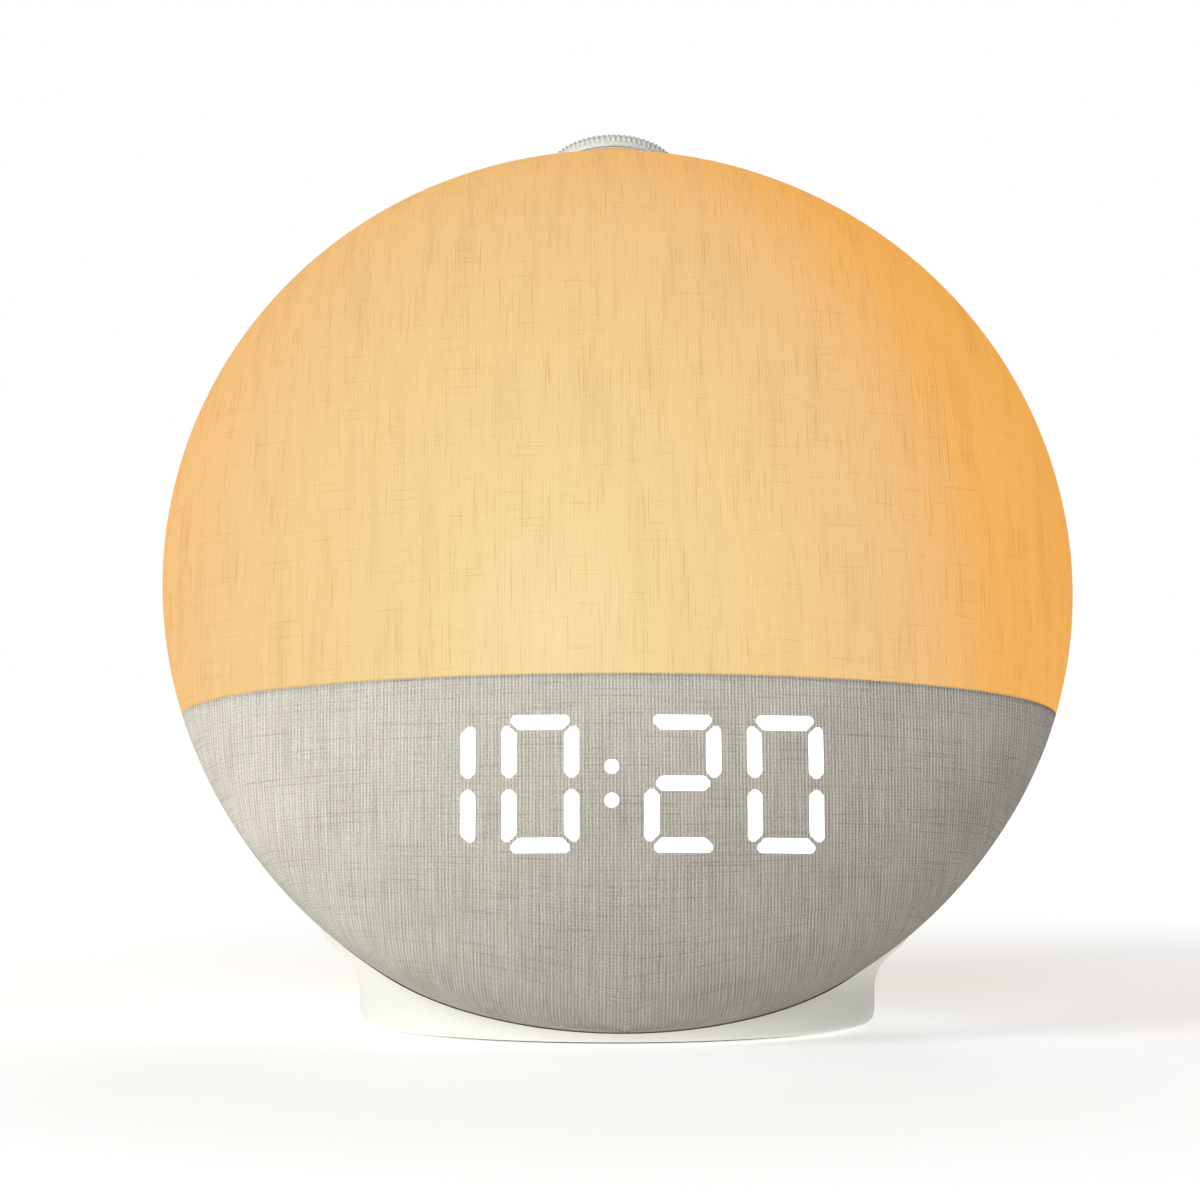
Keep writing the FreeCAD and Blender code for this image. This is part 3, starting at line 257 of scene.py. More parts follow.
def glow_cloth():
    """Cream cloth with the light from inside painted on as emission: a painted pool of light, yellow low on
    the right of the middle, deeper orange toward its edges.
    """
    shader = Shader("glow_cloth")
    surface, warp, weft = weave(shader)
    across, _, up = shader.split(shader.coordinates())
    thick = lines(slubs(shader, surface, "up", 0.00042, 7.7), 0.60, 9.0)
    thin = lines(slubs(shader, surface, "up", 0.00030, 12.3, 0.006), 0.60, 8.0)
    level = lines(slubs(shader, surface, "across", 0.00042, 3.1, 0.010), 0.63, 9.0)
    broad = slubs(shader, surface, "up", 0.0030, 5.9, 0.03)
    slub = (thick * 0.8 + thin * 0.5 + level * 0.7).clamp(0.0, 1.0)
    # Painted light: the glow's colour follows the distance from a set middle, as a pool of light from the
    # lamps inside.
    side = (across - GLOW_MIDDLE[0]) / GLOW_REACH[0]
    rise = (up - GLOW_MIDDLE[1]) / GLOW_REACH[1]
    distance = (side * side + rise * rise) ** 0.5
    warmth = (distance + (broad - 0.5) * 0.14 + slub * 0.07).clamp(0.0, 1.1)
    light = shader.ramp(
        warmth,
        [
            (0.0, (0.82, 0.63, 0.295)),
            (0.35, (0.79, 0.545, 0.22)),
            (0.7, (0.775, 0.47, 0.168)),
            (0.85, (0.78, 0.425, 0.122)),
            (1.0, (0.81, 0.36, 0.045)),
        ],
    )
    ground = 0.5 + (broad - 0.5) * 0.5 + warp * 0.04 + weft * 0.02 - slub * 0.20
    shades = [(0.15, (0.82, 0.76, 0.66)), (0.5, (0.99, 0.98, 0.97)), (0.75, (1.0, 1.0, 1.0))]
    shade = shader.ramp(ground, shades)
    glow = shader.mix(1.0, light, shade, "MULTIPLY")
    base = shader.mix(1.0, (0.13, 0.12, 0.095), shade, "MULTIPLY")
    normal = shader.bump(warp * 0.25 + weft * 0.15 + slub * 0.7, CLOTH_RELIEF)
    return shader.finish(
        base_color=base,
        roughness=0.9,
        normal=normal,
        emission_color=glow,
        emission_strength=GLOW_STRENGTH,
        specular_ior_level=0.15,
    )


def grey_cloth():
    """Warm grey cloth with fine upright threads and a few long darker ones across, and painted shade that
    darkens it toward the right and the bottom.
    """
    shader = Shader("grey_cloth")
    surface, warp, weft = weave(shader)
    rows = lines(slubs(shader, surface, "across", 0.00050, 21.3), 0.56, 7.0)
    columns = slubs(shader, surface, "up", 0.00045, 14.9)
    speck = shader.noise(shader.mapped(surface, scale=(3600, 2200, 1)), 1.0, 1.0)
    patch = shader.noise(shader.mapped(surface, scale=(60, 60, 1)), 1.0, 3.0)
    tone = 0.24 + warp * 0.06 + weft * 0.02 + speck * 0.24 + columns * 0.20 + patch * 0.12 - rows * 0.05
    color = shader.ramp(
        tone,
        [
            (0.28, (0.25, 0.23, 0.20)),
            (0.46, (0.435, 0.405, 0.36)),
            (0.60, (0.62, 0.59, 0.53)),
            (0.80, (0.82, 0.80, 0.74)),
        ],
    )
    # Painted shade: the colour is multiplied down toward the right and the bottom of the ball, where less
    # light falls.
    across, _, up = shader.split(shader.coordinates())
    shade = (0.92 - across * 3.6 + (up - 0.035) * 6.0).clamp(0.64, 1.12)
    painted_shade_tint = shader.node("ShaderNodeCombineColor", None, {0: shade, 1: shade, 2: shade})["Color"]
    color = shader.mix(1.0, color, painted_shade_tint, "MULTIPLY")
    normal = shader.bump(warp * 0.35 + weft * 0.1 + speck * 0.4 - rows * 0.4, CLOTH_RELIEF)
    return shader.finish(base_color=color, roughness=0.92, normal=normal, specular_ior_level=0.15)


def time_light():
    """Painted white light, which the cloth's threads hardly dim."""
    shader = Shader("time_light")
    surface = shader.coordinates()
    speck = shader.noise(shader.mapped(surface, scale=(1800, 1800, 1800)), 1.0, 1.0)
    glow = shader.ramp(speck, [(0.3, (0.93, 0.93, 0.95)), (0.6, (1.0, 1.0, 1.0))])
    return shader.finish(
        base_color=(0.9, 0.9, 0.9, 1), roughness=0.8, emission_color=glow, emission_strength=TIME_STRENGTH
    )


def plastic(name, color, grain=0.00002, roughness=0.42, vary=0.04, coat=0.0):
    """Moulded plastic with a fine spark-eroded grain and slightly uneven gloss."""
    shader = Shader(name)
    surface = shader.coordinates()
    fine = shader.noise(surface, 5200.0, 2.0)
    cloud = shader.noise(surface, 38.0, 3.0)
    low = tuple(channel * (1 - vary) for channel in color)
    tint = shader.mix(cloud, low, color)
    rough = roughness + (cloud - 0.5) * 0.12
    normal = shader.bump(fine, grain)
    return shader.finish(base_color=tint, roughness=rough, normal=normal, coat_weight=coat)


def metal(name, color, roughness=0.3, brushed=False):
    """Plated or brushed metal with fine streaks."""
    shader = Shader(name)
    surface = shader.coordinates()
    stretch = (4000, 90, 4000) if brushed else (900, 900, 900)
    streak = shader.noise(shader.mapped(surface, scale=stretch), 1.0, 3.0)
    rough = roughness + (streak - 0.5) * 0.2
    tint = shader.mix(streak, tuple(channel * 0.86 for channel in color), color)
    return shader.finish(base_color=tint, metallic=1.0, roughness=rough, normal=shader.bump(streak, 0.00001))


def circuit_board():
    """Green solder mask over faint copper lines."""
    shader = Shader("circuit_board")
    surface = shader.coordinates()
    cells = shader.node("ShaderNodeTexBrick", None, {"Vector": surface, "Scale": 220.0, "Mortar Size": 0.03})
    mask = shader.noise(surface, 60.0, 2.0)
    tint = shader.mix(cells["Fac"], (0.015, 0.11, 0.05), (0.05, 0.24, 0.11))
    tint = shader.mix(mask, tint, (0.02, 0.13, 0.06))
    return shader.finish(base_color=tint, roughness=0.35, coat_weight=0.3)


def rubber():
    """Dark rubber with a dull, slightly grained skin."""
    shader = Shader("rubber")
    surface = shader.coordinates()
    grain = shader.noise(surface, 2600.0, 3.0)
    tint = shader.mix(grain, (0.018, 0.018, 0.018), (0.045, 0.044, 0.043))
    return shader.finish(base_color=tint, roughness=0.85, normal=shader.bump(grain, 0.00004))


def chip_light(name, color):
    """A phosphor lens in a white frame, lit."""
    shader = Shader(name)
    surface = shader.coordinates()
    spread = shader.noise(surface, 1400.0, 1.0)
    glow = shader.mix(spread, tuple(channel * 0.8 for channel in color), color)
    return shader.finish(base_color=glow, roughness=0.5, emission_color=glow, emission_strength=1.5)


# The painted light: strength of the light's cloth glow, the middle and reach of its painted pool, and the
# strength of the painted time.
GLOW_STRENGTH = 1.0
GLOW_MIDDLE = (-0.012, 0.064)
GLOW_REACH = (0.072, 0.10)
TIME_STRENGTH = 1.1


def dress(material, *nodes):
    """Gives a material to every named node of the frame."""
    for name in nodes:
        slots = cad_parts[name].material_slots
        if not slots:
            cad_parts[name].data.materials.append(material)
        for slot in slots:
            slot.material = material


# Meshes
def mesh_piece(name, mesh, material, smooth=True):
    """A finished piece at the origin."""
    mesh.name = name
    piece = bpy.data.objects.new(name, mesh)
    bpy.context.scene.collection.objects.link(piece)
    mesh.materials.clear()
    mesh.materials.append(material)
    mesh.polygons.foreach_set("use_smooth", [smooth] * len(mesh.polygons))
    return piece


def settled(piece):
    """The piece with its modifiers worked into its mesh."""
    graph = bpy.context.evaluated_depsgraph_get()
    mesh = bpy.data.meshes.new_from_object(piece.evaluated_get(graph))
    piece.modifiers.clear()
    old = piece.data
    name = old.name
    piece.data = mesh
    bpy.data.meshes.remove(old)
    mesh.name = name
    return piece


def ball_point(azimuth, height, inset=0.0):
    """A point of the ball at an azimuth from the front and a height in the ball's own frame."""
    wide = HALF_WIDTH - inset
    tall = HALF_HEIGHT - inset
    deep = (FRONT_DEPTH if math.cos(azimuth) > 0 else BACK_DEPTH) - inset
    ring = math.sqrt(max(0.0, 1 - (height / tall) ** 2))
    return Vector((wide * ring * math.sin(azimuth), -deep * ring * math.cos(azimuth), height))


def azimuths(count):
    """Even steps along the ball's widest outline, so the shallow front gets as fine a mesh as the back."""
    return [-math.pi + 2 * math.pi * index / count for index in range(count + 1)]


def cover_mesh(name, heights, inset, keep, turn_in):
    """An open grid of cloth on the ball with a UV map measured along its threads, in metres."""
    columns = azimuths(288)
    grid = [[ball_point(azimuth, height, inset) for azimuth in columns] for height in heights]
    middle = len(columns) // 2
    marks = [[0.0] * len(columns) for _ in heights]
    rises = [[0.0] * len(columns) for _ in heights]
    for row, points in enumerate(grid):
        for step in range(middle + 1, len(columns)):
            marks[row][step] = marks[row][step - 1] + (points[step] - points[step - 1]).length
        for step in range(middle - 1, -1, -1):
            marks[row][step] = marks[row][step + 1] - (points[step] - points[step + 1]).length
    start = min(range(len(heights)), key=lambda row: abs(heights[row] - PARTING))
    for column in range(len(columns)):
        for row in range(start + 1, len(heights)):
            rises[row][column] = rises[row - 1][column] + (grid[row][column] - grid[row - 1][column]).length
        for row in range(start - 1, -1, -1):
            rises[row][column] = rises[row + 1][column] - (grid[row][column] - grid[row + 1][column]).length
    build = bmesh.new()
    threads = build.loops.layers.uv.new("threads")
    verts = [[build.verts.new(BALL @ point) for point in points[:-1]] for points in grid]
    count = len(columns) - 1
    for row in range(len(heights) - 1):
        for column in range(count):
            following = (column + 1) % count
            corners = [(row, column), (row, following), (row + 1, following), (row + 1, column)]
            if not all(keep(verts[r][c].co) for r, c in corners):
                continue
            face = build.faces.new([verts[r][c] for r, c in corners])
            spots = [(row, column), (row, column + 1), (row + 1, column + 1), (row + 1, column)]
            for loop, (r, c) in zip(face.loops, spots):
                loop[threads].uv = (marks[r][c], rises[r][c])
    loose = [vert for vert in build.verts if not vert.link_faces]
    bmesh.ops.delete(build, geom=loose, context="VERTS")
    turn_in(build)
    build.normal_update()
    mesh = bpy.data.meshes.new(name)
    build.to_mesh(mesh)
    build.free()
    return mesh


def dial_distance(point):
    """How far a point is from the dial's axis, and how high above its seat."""
    local = DIAL.inverted() @ point
    return math.hypot(local.x, local.y), local.z


def round_dial_hole(build):
    """Brings the ragged edge round the dial onto a true circle."""
    inverse = DIAL.inverted()
    for vert in build.verts:
        local = inverse @ vert.co
        radius = math.hypot(local.x, local.y)
        if vert.is_boundary and radius < 2 * DIAL_HOLE and local.z > -0.01:
            share = DIAL_HOLE / radius
            vert.co = DIAL @ Vector((local.x * share, local.y * share, local.z))


def level_rim(build):
    """Brings the ragged lower edge onto the plane where the cloth ends."""
    for vert in build.verts:
        if vert.is_boundary and vert.co.z < FLOOR_CUT + RIM_SPAN:
            local = BALL.inverted() @ vert.co
            if local.z < PARTING - 0.01:
                vert.co.z = FLOOR_CUT


# Just short of a pole, so the last ring of the grid isn't a point
POLE = math.pi / 2 * 0.9995
UPPER_STEPS = 110
LOWER_STEPS = 90
RIM_SPAN = 0.004


def upper_cover():
    """The light's cloth, from the parting line to the dial's hole."""
    low = math.asin((PARTING + SEAM_GAP / 2) / HALF_HEIGHT)
    shares = [step / UPPER_STEPS for step in range(UPPER_STEPS + 1)]
    heights = [HALF_HEIGHT * math.sin(low + (POLE - low) * share) for share in shares]

    def keep(point):
        radius, height = dial_distance(point)
        return radius > DIAL_HOLE - 0.0006 or height < -0.02

    mesh = cover_mesh("light_cover_cloth", heights, 0.0, keep, round_dial_hole)
    return mesh_piece("light_cover_cloth", mesh, glow_cloth())


def lower_cover():
    """The speaker's cloth, from the parting line down to the base's floor."""
    high = math.asin((PARTING - SEAM_GAP / 2) / HALF_HEIGHT)
    shares = [step / LOWER_STEPS for step in range(LOWER_STEPS + 1)]
    heights = [HALF_HEIGHT * math.sin(-POLE + (high + POLE) * share) for share in shares]

    def keep(point):
        return point.z > FLOOR_CUT - 0.0004

    mesh = cover_mesh("speaker_cover_cloth", heights, 0.0, keep, level_rim)
    return mesh_piece("speaker_cover_cloth", mesh, grey_cloth())


def thicken(piece, amount):
    """The cloth with its thickness laid inward."""
    solid = piece.modifiers.new("wall", "SOLIDIFY")
    solid.thickness = amount
    solid.offset = -1.0
    solid.use_even_offset = False
    return settled(piece)


# The shown time
# Side, rise and direction, how far each end stays short of the corner, and which way each tip is set
STROKES = {
    "top": (0, 1, False, (0.0, 1), (0.0, 1)),
    "middle": (0, 0, False, (0.00035, 0), (0.00035, 0)),
    "bottom": (0, -1, False, (0.0, -1), (0.0, -1)),
    "upper_left": (-1, 0.5, True, (0.00060, 0), (0.0003, -1)),
    "upper_right": (1, 0.5, True, (0.00060, 0), (0.0003, 1)),
    "lower_left": (-1, -0.5, True, (0.0003, -1), (0.00060, 0)),
    "lower_right": (1, -0.5, True, (0.0003, 1), (0.00060, 0)),
}
LIT = {
    "1": ("upper_right", "lower_right"),
    "0": ("top", "bottom", "upper_left", "upper_right", "lower_left", "lower_right"),
    "2": ("top", "upper_right", "middle", "lower_left", "bottom"),
}
SHOWN = "1020"
DOT_STEPS = 28


def stroke_end(reach, tip, half):
    """One end of a stroke: a blunted point, set toward the digit's outside, with eased shoulders."""
    points = []
    for turn in (1, -1):
        slope = half - turn * tip
        rows = [(slope * 1.25, half), (slope * 0.9, half * 0.93), (0.26 * half, turn * tip + 0.26 * half)]
        rows = [(reach - back, turn * side) for back, side in rows]
        points += rows if turn > 0 else rows[::-1]
    return points


def stroke_outline(name):
    """The corners of one stroke, about the digit's centre."""
    side, up, upright, low_end, high_end = STROKES[name]
    across = side * (DIGIT_WIDTH - STROKE) / 2
    rise = up * (DIGIT_HEIGHT - STROKE) / 2
    run = (DIGIT_HEIGHT - STROKE) / 2 if upright else DIGIT_WIDTH - STROKE
    half = STROKE / 2
    high = stroke_end(run / 2 - high_end[0], high_end[1] * TIP_SHIFT * half, half)
    low = stroke_end(run / 2 - low_end[0], low_end[1] * TIP_SHIFT * half, half)
    corners = high + [(-a, b) for a, b in low[::-1]]
    if upright:
        corners = [(b, a) for a, b in corners]
    return [(across + a, rise + b) for a, b in corners]


def on_cloth(across, rise):
    """The point of the cloth's face straight in front of a point of the display."""
    origin = DISPLAY @ Vector((DISPLAY_ACROSS + across, -0.1, rise - DISPLAY_DROP))
    aim = (DISPLAY.to_3x3() @ Vector((0, 1, 0))).normalized()
    inverse = BALL.inverted()
    start = inverse @ origin
    way = inverse.to_3x3() @ aim
    scale = Vector((1 / HALF_WIDTH, 1 / FRONT_DEPTH, 1 / HALF_HEIGHT))
    a = Vector(start * scale)
    b = Vector(way * scale)
    square = b.dot(b)
    mixed = a.dot(b)
    distance = (-mixed - math.sqrt(mixed * mixed - square * (a.dot(a) - 1))) / square
    return origin + aim * (distance - LIGHT_PROUD)


def shown_time():
    """Painted light: a glowing sheet just proud of the cloth where the display's lit strokes and dots shine
    through it.
    """
    build = bmesh.new()
    inner = (DIGIT_PITCH + COLON_SPACE) / 2
    centres = (-inner - DIGIT_PITCH, -inner, inner, inner + DIGIT_PITCH)
    outlines = []
    for centre, digit in zip(centres, SHOWN):
        for name in LIT[digit]:
            outlines.append([(centre + a, b) for a, b in stroke_outline(name)])
    for side in (-1, 1):
        circle = [2 * math.pi * step / DOT_STEPS for step in range(DOT_STEPS)]
        spots = [(COLON_RADIUS * math.cos(turn), COLON_RADIUS * math.sin(turn)) for turn in circle]
        outlines.append([(a, side * COLON_HALF_PITCH + b) for a, b in spots])
    for outline in outlines:
        centre_across = sum(a for a, _ in outline) / len(outline)
        centre_rise = sum(b for _, b in outline) / len(outline)
        rings = []
        for share in (1.0, 0.75, 0.5, 0.25):
            points = []
            for a, b in outline:
                across = centre_across + (a - centre_across) * share
                rise = centre_rise + (b - centre_rise) * share
                points.append(on_cloth(across, rise))
            rings.append([build.verts.new(point) for point in points])
        hub = build.verts.new(on_cloth(centre_across, centre_rise))
        count = len(outline)
        for outer, inner_ring in zip(rings, rings[1:]):
            for index in range(count):
                following = (index + 1) % count
                build.faces.new([outer[index], outer[following], inner_ring[following], inner_ring[index]])
        for index in range(count):
            build.faces.new([rings[-1][index], rings[-1][(index + 1) % count], hub])
    bmesh.ops.recalc_face_normals(build, faces=build.faces)
    forward = DISPLAY.to_3x3() @ Vector((0, -1, 0))
    build.normal_update()
    for face in build.faces:
        if face.normal.dot(forward) < 0:
            face.normal_flip()
    mesh = bpy.data.meshes.new("time_glow")
    build.to_mesh(mesh)
    build.free()
    return mesh_piece("time_glow", mesh, time_light())


# The dial
def turned_mesh(name, profile, matrix, steps=128):
    """A closed mesh turned about Z from radius and height pairs that start and end on the axis."""
    build = bmesh.new()
    rings = []
    for radius, height in profile:
        if radius < 1e-7:
            rings.append([build.verts.new(matrix @ Vector((0, 0, height)))])
            continue
        circle = [2 * math.pi * step / steps for step in range(steps)]
        spots = [Vector((radius * math.cos(turn), radius * math.sin(turn), height)) for turn in circle]
        rings.append([build.verts.new(matrix @ spot) for spot in spots])
    for first, second in zip(rings, rings[1:]):
        for index in range(steps):
            following = (index + 1) % steps
            corners = [first[index % len(first)], first[following % len(first)]]
            corners += [second[following % len(second)], second[index % len(second)]]
            unique = list(dict.fromkeys(corners))
            if len(unique) > 2:
                build.faces.new(unique)
    bmesh.ops.recalc_face_normals(build, faces=build.faces)
    mesh = bpy.data.meshes.new(name)
    build.to_mesh(mesh)
    build.free()
    return mesh


def rounded(profile, radius, parts=4):
    """The profile with each inner corner turned into a short arc."""
    points = [Vector(point) for point in profile]
    result = [points[0]]
    for before, here, after in zip(points, points[1:], points[2:]):
        reach = min(radius, (here - before).length * 0.45, (after - here).length * 0.45)
        start = here + (before - here).normalized() * reach
        end = here + (after - here).normalized() * reach
        for part in range(parts + 1):
            share = part / parts
            result.append(start * (1 - share) ** 2 + here * 2 * share * (1 - share) + end * share**2)
    result.append(points[-1])
    return [tuple(point) for point in result]


def dial_body(material):
    """The dial's cap: a smooth band below, a ribbed slope above and a dished top."""
    under = DIAL_TOP - DIAL_WALL - DIAL_DISH
    profile = [
        (0.0, DIAL_TOP - DIAL_DISH),
        (DIAL_TOP_RADIUS - DIAL_RIM_WIDTH, DIAL_TOP - DIAL_DISH),
        (DIAL_TOP_RADIUS - 0.0010, DIAL_TOP),
        (DIAL_TOP_RADIUS - 0.0003, DIAL_TOP),
        (DIAL_RADIUS - 0.0004, DIAL_GAP + DIAL_BAND),
        (DIAL_RADIUS, DIAL_GAP + DIAL_BAND * 0.9),
        (DIAL_RADIUS, DIAL_GAP),
        (DIAL_RADIUS - DIAL_WALL, DIAL_GAP),
        (DIAL_RADIUS - DIAL_WALL, DIAL_GAP + DIAL_BAND),
        (DIAL_TOP_RADIUS - DIAL_WALL, under),
        (DIAL_BOSS_RADIUS, under),
        (DIAL_BOSS_RADIUS, -DIAL_BOSS_DROP),
        (0.0, -DIAL_BOSS_DROP),
    ]
    mesh = turned_mesh("dial_cap_body", rounded(profile, DIAL_EASE), DIAL)
    return mesh_piece("dial_cap_body", mesh, material)


def rib_tree(material):
    """Geometry nodes: ribs laid round the dial's slope, each a rounded bar that leans with it."""
    tree = bpy.data.node_groups.new("dial_ribs", "GeometryNodeTree")
    face = tree.interface
    face.new_socket("Rib count", in_out="INPUT", socket_type="NodeSocketInt")
    for name in ("Rib length", "Rib width", "Rib height", "Ring radius", "Ring height", "Rib lean"):
        face.new_socket(name, in_out="INPUT", socket_type="NodeSocketFloat")
    face.new_socket("Geometry", in_out="OUTPUT", socket_type="NodeSocketGeometry")
    nodes = tree.nodes
    links = tree.links
    start = nodes.new("NodeGroupInput").outputs
    end = nodes.new("NodeGroupOutput").inputs
    bar_size = nodes.new("ShaderNodeCombineXYZ")
    links.new(start["Rib length"], bar_size.inputs["X"])
    links.new(start["Rib width"], bar_size.inputs["Y"])
    links.new(start["Rib height"], bar_size.inputs["Z"])
    bar = nodes.new("GeometryNodeMeshCylinder")
    bar.inputs["Vertices"].default_value = RIB_SIDES
    bar.inputs["Radius"].default_value = 0.5
    bar.inputs["Depth"].default_value = 1.0
    lay = nodes.new("GeometryNodeTransform")
    lay.inputs["Rotation"].default_value = (0.0, math.pi / 2, 0.0)
    links.new(bar.outputs["Mesh"], lay.inputs["Geometry"])
    scale = nodes.new("GeometryNodeTransform")
    links.new(lay.outputs["Geometry"], scale.inputs["Geometry"])
    links.new(bar_size.outputs["Vector"], scale.inputs["Scale"])
    spot = nodes.new("ShaderNodeCombineXYZ")
    links.new(start["Ring radius"], spot.inputs["X"])
    links.new(start["Ring height"], spot.inputs["Z"])
    lean = nodes.new("ShaderNodeCombineXYZ")
    links.new(start["Rib lean"], lean.inputs["Y"])
    seat = nodes.new("GeometryNodeTransform")
    links.new(scale.outputs["Geometry"], seat.inputs["Geometry"])
    links.new(spot.outputs["Vector"], seat.inputs["Translation"])
    links.new(lean.outputs["Vector"], seat.inputs["Rotation"])
    points = nodes.new("GeometryNodePoints")
    links.new(start["Rib count"], points.inputs["Count"])
    index = nodes.new("GeometryNodeInputIndex")
    share = nodes.new("ShaderNodeMath")
    share.operation = "DIVIDE"
    links.new(index.outputs["Index"], share.inputs[0])
    links.new(start["Rib count"], share.inputs[1])
    angle = nodes.new("ShaderNodeMath")
    angle.operation = "MULTIPLY"
    angle.inputs[1].default_value = 2 * math.pi
    links.new(share.outputs["Value"], angle.inputs[0])
    turn = nodes.new("ShaderNodeCombineXYZ")
    links.new(angle.outputs["Value"], turn.inputs["Z"])
    spread = nodes.new("GeometryNodeInstanceOnPoints")
    links.new(points.outputs[0], spread.inputs["Points"])
    links.new(seat.outputs["Geometry"], spread.inputs["Instance"])
    links.new(turn.outputs["Vector"], spread.inputs["Rotation"])
    real = nodes.new("GeometryNodeRealizeInstances")
    links.new(spread.outputs["Instances"], real.inputs["Geometry"])
    paint = nodes.new("GeometryNodeSetMaterial")
    paint.inputs["Material"].default_value = material
    links.new(real.outputs["Geometry"], paint.inputs["Geometry"])
    links.new(paint.outputs["Geometry"], end["Geometry"])
    return tree


def dial_ribs(material):
    """Fine ribs on the dial's slope, spread by geometry nodes and made plain."""
    slope_low = Vector((DIAL_RADIUS - 0.00052, DIAL_GAP + DIAL_BAND))
    slope_high = Vector((DIAL_TOP_RADIUS - 0.00012, DIAL_TOP - 0.00028))
    middle = (slope_low + slope_high) / 2
    reach = slope_high - slope_low
    values = {
        "Rib count": DIAL_RIBS,
        "Rib length": reach.length,
        "Rib width": RIB_WIDTH,
        "Rib height": RIB_HEIGHT,
        "Ring radius": middle.x,
        "Ring height": middle.y,
        "Rib lean": -math.atan2(reach.y, reach.x),
    }
    piece = bpy.data.objects.new("dial_cap_ribs", bpy.data.meshes.new("dial_cap_ribs"))
    bpy.context.scene.collection.objects.link(piece)
    tree = rib_tree(material)
    modifier = piece.modifiers.new("ribs", "NODES")
    modifier.node_group = tree
    for item in tree.interface.items_tree:
        if item.item_type == "SOCKET" and item.in_out == "INPUT":
            modifier[item.identifier] = values[item.name]
    settled(piece)
    piece.data.transform(DIAL)
    piece.data.polygons.foreach_set("use_smooth", [True] * len(piece.data.polygons))
    return piece


# Stage
STUDIO_LEVEL = 0.10
BACKDROP_LEVEL = 1.0
FLOOR_GLOW = 1.0
FLOOR_REACH = 3.0
WHITE_LIGHT = (1.0, 1.0, 1.0)
LIGHT_TARGET = (0.0, 0.0, 0.07)
STUDIO_LIGHTS = (
    ("key", (-0.68, -0.46, 0.46), 0.4, 4.0, (1.0, 1.0, 0.985)),
    ("front", (-0.12, -1.08, 0.40), 0.5, 4.1, WHITE_LIGHT),
    ("back", (0.2, 0.7, 0.6), 0.5, 2.0, WHITE_LIGHT),
)


def area_light(name, spot, aim, side, power, color):
    """A square soft light that faces its target."""
    light = bpy.data.lights.new(name, "AREA")
    light.shape = "SQUARE"
    light.size = side
    light.energy = power
    light.color = color
    lamp = bpy.data.objects.new(name, light)
    lamp.location = spot
    lamp.rotation_euler = (Vector(aim) - Vector(spot)).to_track_quat("-Z", "Y").to_euler()
    bpy.context.scene.collection.objects.link(lamp)


def stage():
    """White surroundings, a pale floor and soft studio lights."""
    world = bpy.data.worlds.new("studio")
    world.use_nodes = True
    tree = world.node_tree
    background = tree.nodes["Background"]
    seen = tree.nodes.new("ShaderNodeLightPath").outputs["Is Camera Ray"]
    level = tree.nodes.new("ShaderNodeMapRange")
    level.inputs["To Min"].default_value = STUDIO_LEVEL
    level.inputs["To Max"].default_value = BACKDROP_LEVEL
    tree.links.new(seen, level.inputs["Value"])
    tree.links.new(level.outputs["Result"], background.inputs["Strength"])
    background.inputs["Color"].default_value = (1.0, 1.0, 1.0, 1.0)
    bpy.context.scene.world = world
    bpy.context.scene.view_settings.view_transform = "Standard"
    build = bmesh.new()
    reach = FLOOR_REACH
    corners = [(-reach, -reach), (reach, -reach), (reach, reach), (-reach, reach)]
    build.faces.new([build.verts.new((a, b, 0)) for a, b in corners])
    mesh = bpy.data.meshes.new("floor")
    build.to_mesh(mesh)
    build.free()
    shader = Shader("studio_floor")
    surface = shader.coordinates()
    cloud = shader.noise(surface, 9.0, 3.0)
    tint = shader.mix(cloud, (0.93, 0.93, 0.93), (0.95, 0.95, 0.95))
    across, along, _ = shader.split(surface)
    far = ((across * across + along * along) ** 0.5).clamp(0.0, 1.0)
    glow = shader.ramp(far, [(0.1, (0.42, 0.42, 0.42)), (0.3, (0.58, 0.58, 0.58)), (0.8, (0.95, 0.95, 0.95))])
    paper = shader.finish(base_color=tint, roughness=0.9, emission_color=glow, emission_strength=FLOOR_GLOW)
    floor = mesh_piece("floor", mesh, paper, smooth=False)
    for name, spot, side, power, color in STUDIO_LIGHTS:
        area_light(name, spot, LIGHT_TARGET, side, power, color)


add_camera()
stage()

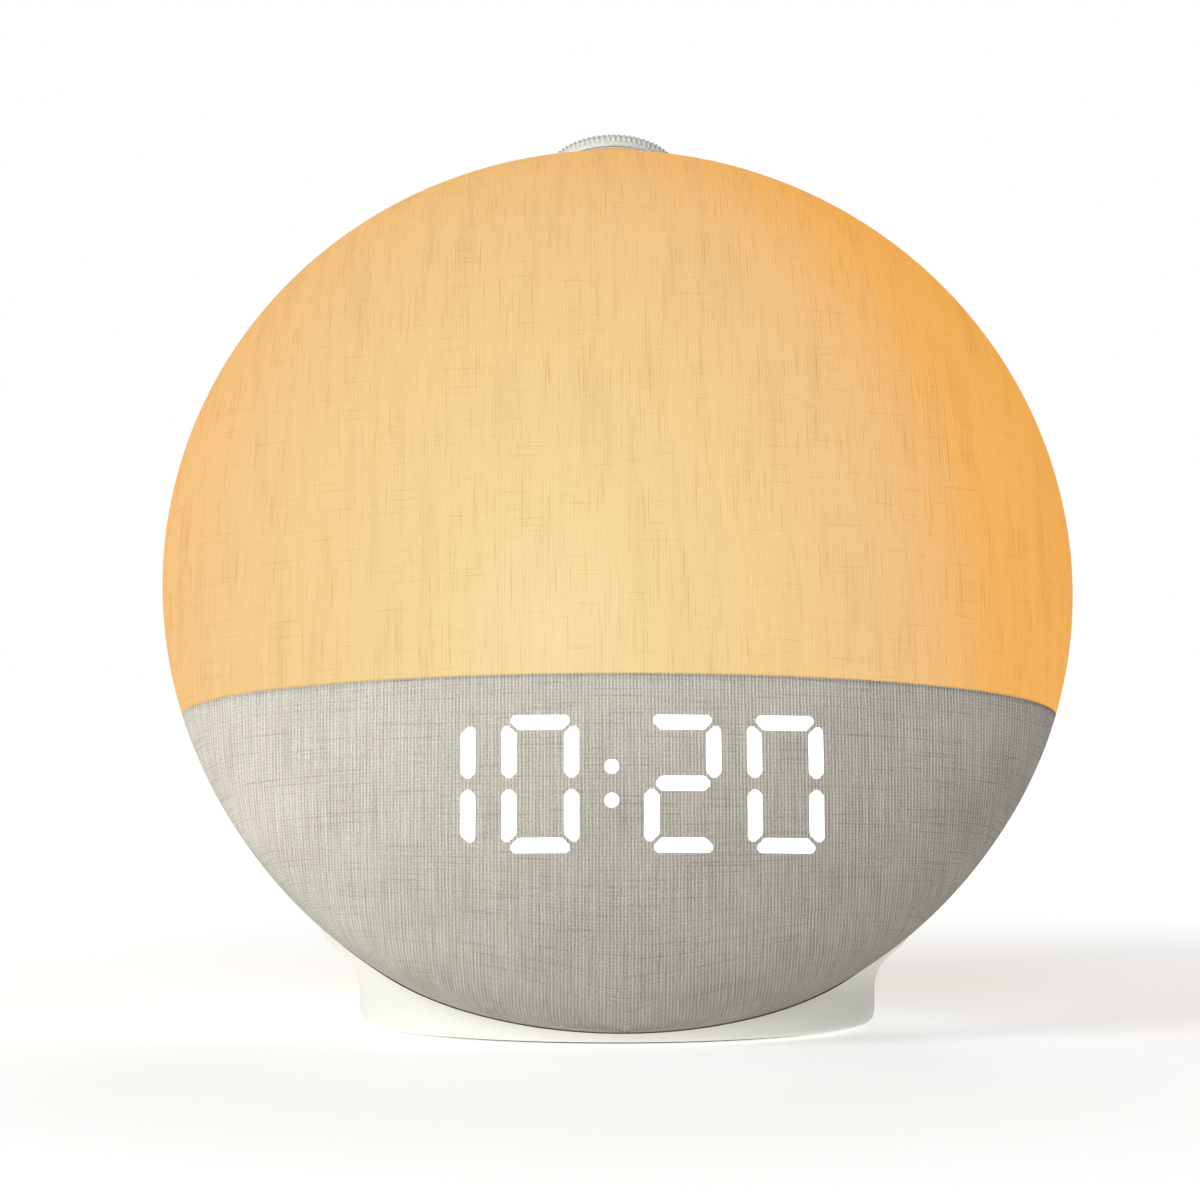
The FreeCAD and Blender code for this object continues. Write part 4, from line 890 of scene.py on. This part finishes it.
white = plastic("white_plastic", (0.82, 0.82, 0.765), roughness=0.42)
dress(white, "base_shell", "dial_cup")
dress(
    plastic("grey_plastic", (0.30, 0.30, 0.31)),
    "lower_housing",
    "light_deck",
    "dial_post",
    "encoder_rotor",
)
dress(plastic("slider_plastic", (0.16, 0.16, 0.165)), "alarm_slider")
dress(
    plastic("black_plastic", (0.03, 0.03, 0.032)),
    "segment_mask",
    "encoder_housing",
    "alarm_switch_body",
    "processor_chip",
)
dress(plastic("frosted_plastic", (0.90, 0.88, 0.84), roughness=0.55), "light_diffuser_dome", "dark_segments")
dress(plastic("reflector_film", (0.92, 0.92, 0.91), roughness=0.3, coat=0.4), "reflector_sheet")
dress(circuit_board(), "light_board", "encoder_board", "display_board", "main_board", "socket_board")
dress(chip_light("warm_chip", (1.0, 0.72, 0.35)), "warm_light_chips")
dress(chip_light("white_chip", (1.0, 0.96, 0.9)), "white_light_chips")
dress(chip_light("light_pipe", (1.0, 1.0, 1.0)), "lit_segments", "colon_dots")
dress(metal("milled_aluminium", (0.74, 0.74, 0.75), 0.34, brushed=True), "heat_spreader")
dress(
    metal("plated_steel", (0.62, 0.62, 0.63)),
    "deck_screws",
    "main_board_screws",
    "speaker_screws",
    "base_screws",
    "socket_board_screws",
    "dial_shaft",
    "wireless_shield",
    "power_socket",
    "speaker_magnet",
)
dress(plastic("painted_basket", (0.05, 0.05, 0.05), roughness=0.5), "speaker_frame")
dress(plastic("cone_paper", (0.05, 0.05, 0.05), grain=0.0001, roughness=0.85), "speaker_cone")
dress(metal("wound_copper", (0.72, 0.38, 0.22)), "voice_coil")
dress(rubber(), "foot_pad", "cone_surround", "speaker_gasket")

light_cover = thicken(upper_cover(), CLOTH)
speaker_cover = thicken(lower_cover(), CLOTH)
time_glow = shown_time()
cap = dial_body(white)
ribs = dial_ribs(white)

for piece, node, slot in (
    (light_cover, "light_cover_fabric", "glow_fabric"),
    (speaker_cover, "speaker_cover_fabric", "grey_fabric"),
):
    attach(piece, BODY)
    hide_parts(node)
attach(time_glow, BODY)
for piece in (cap, ribs):
    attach(piece, "dial")
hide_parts("dial_cap")
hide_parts("dial_cap")
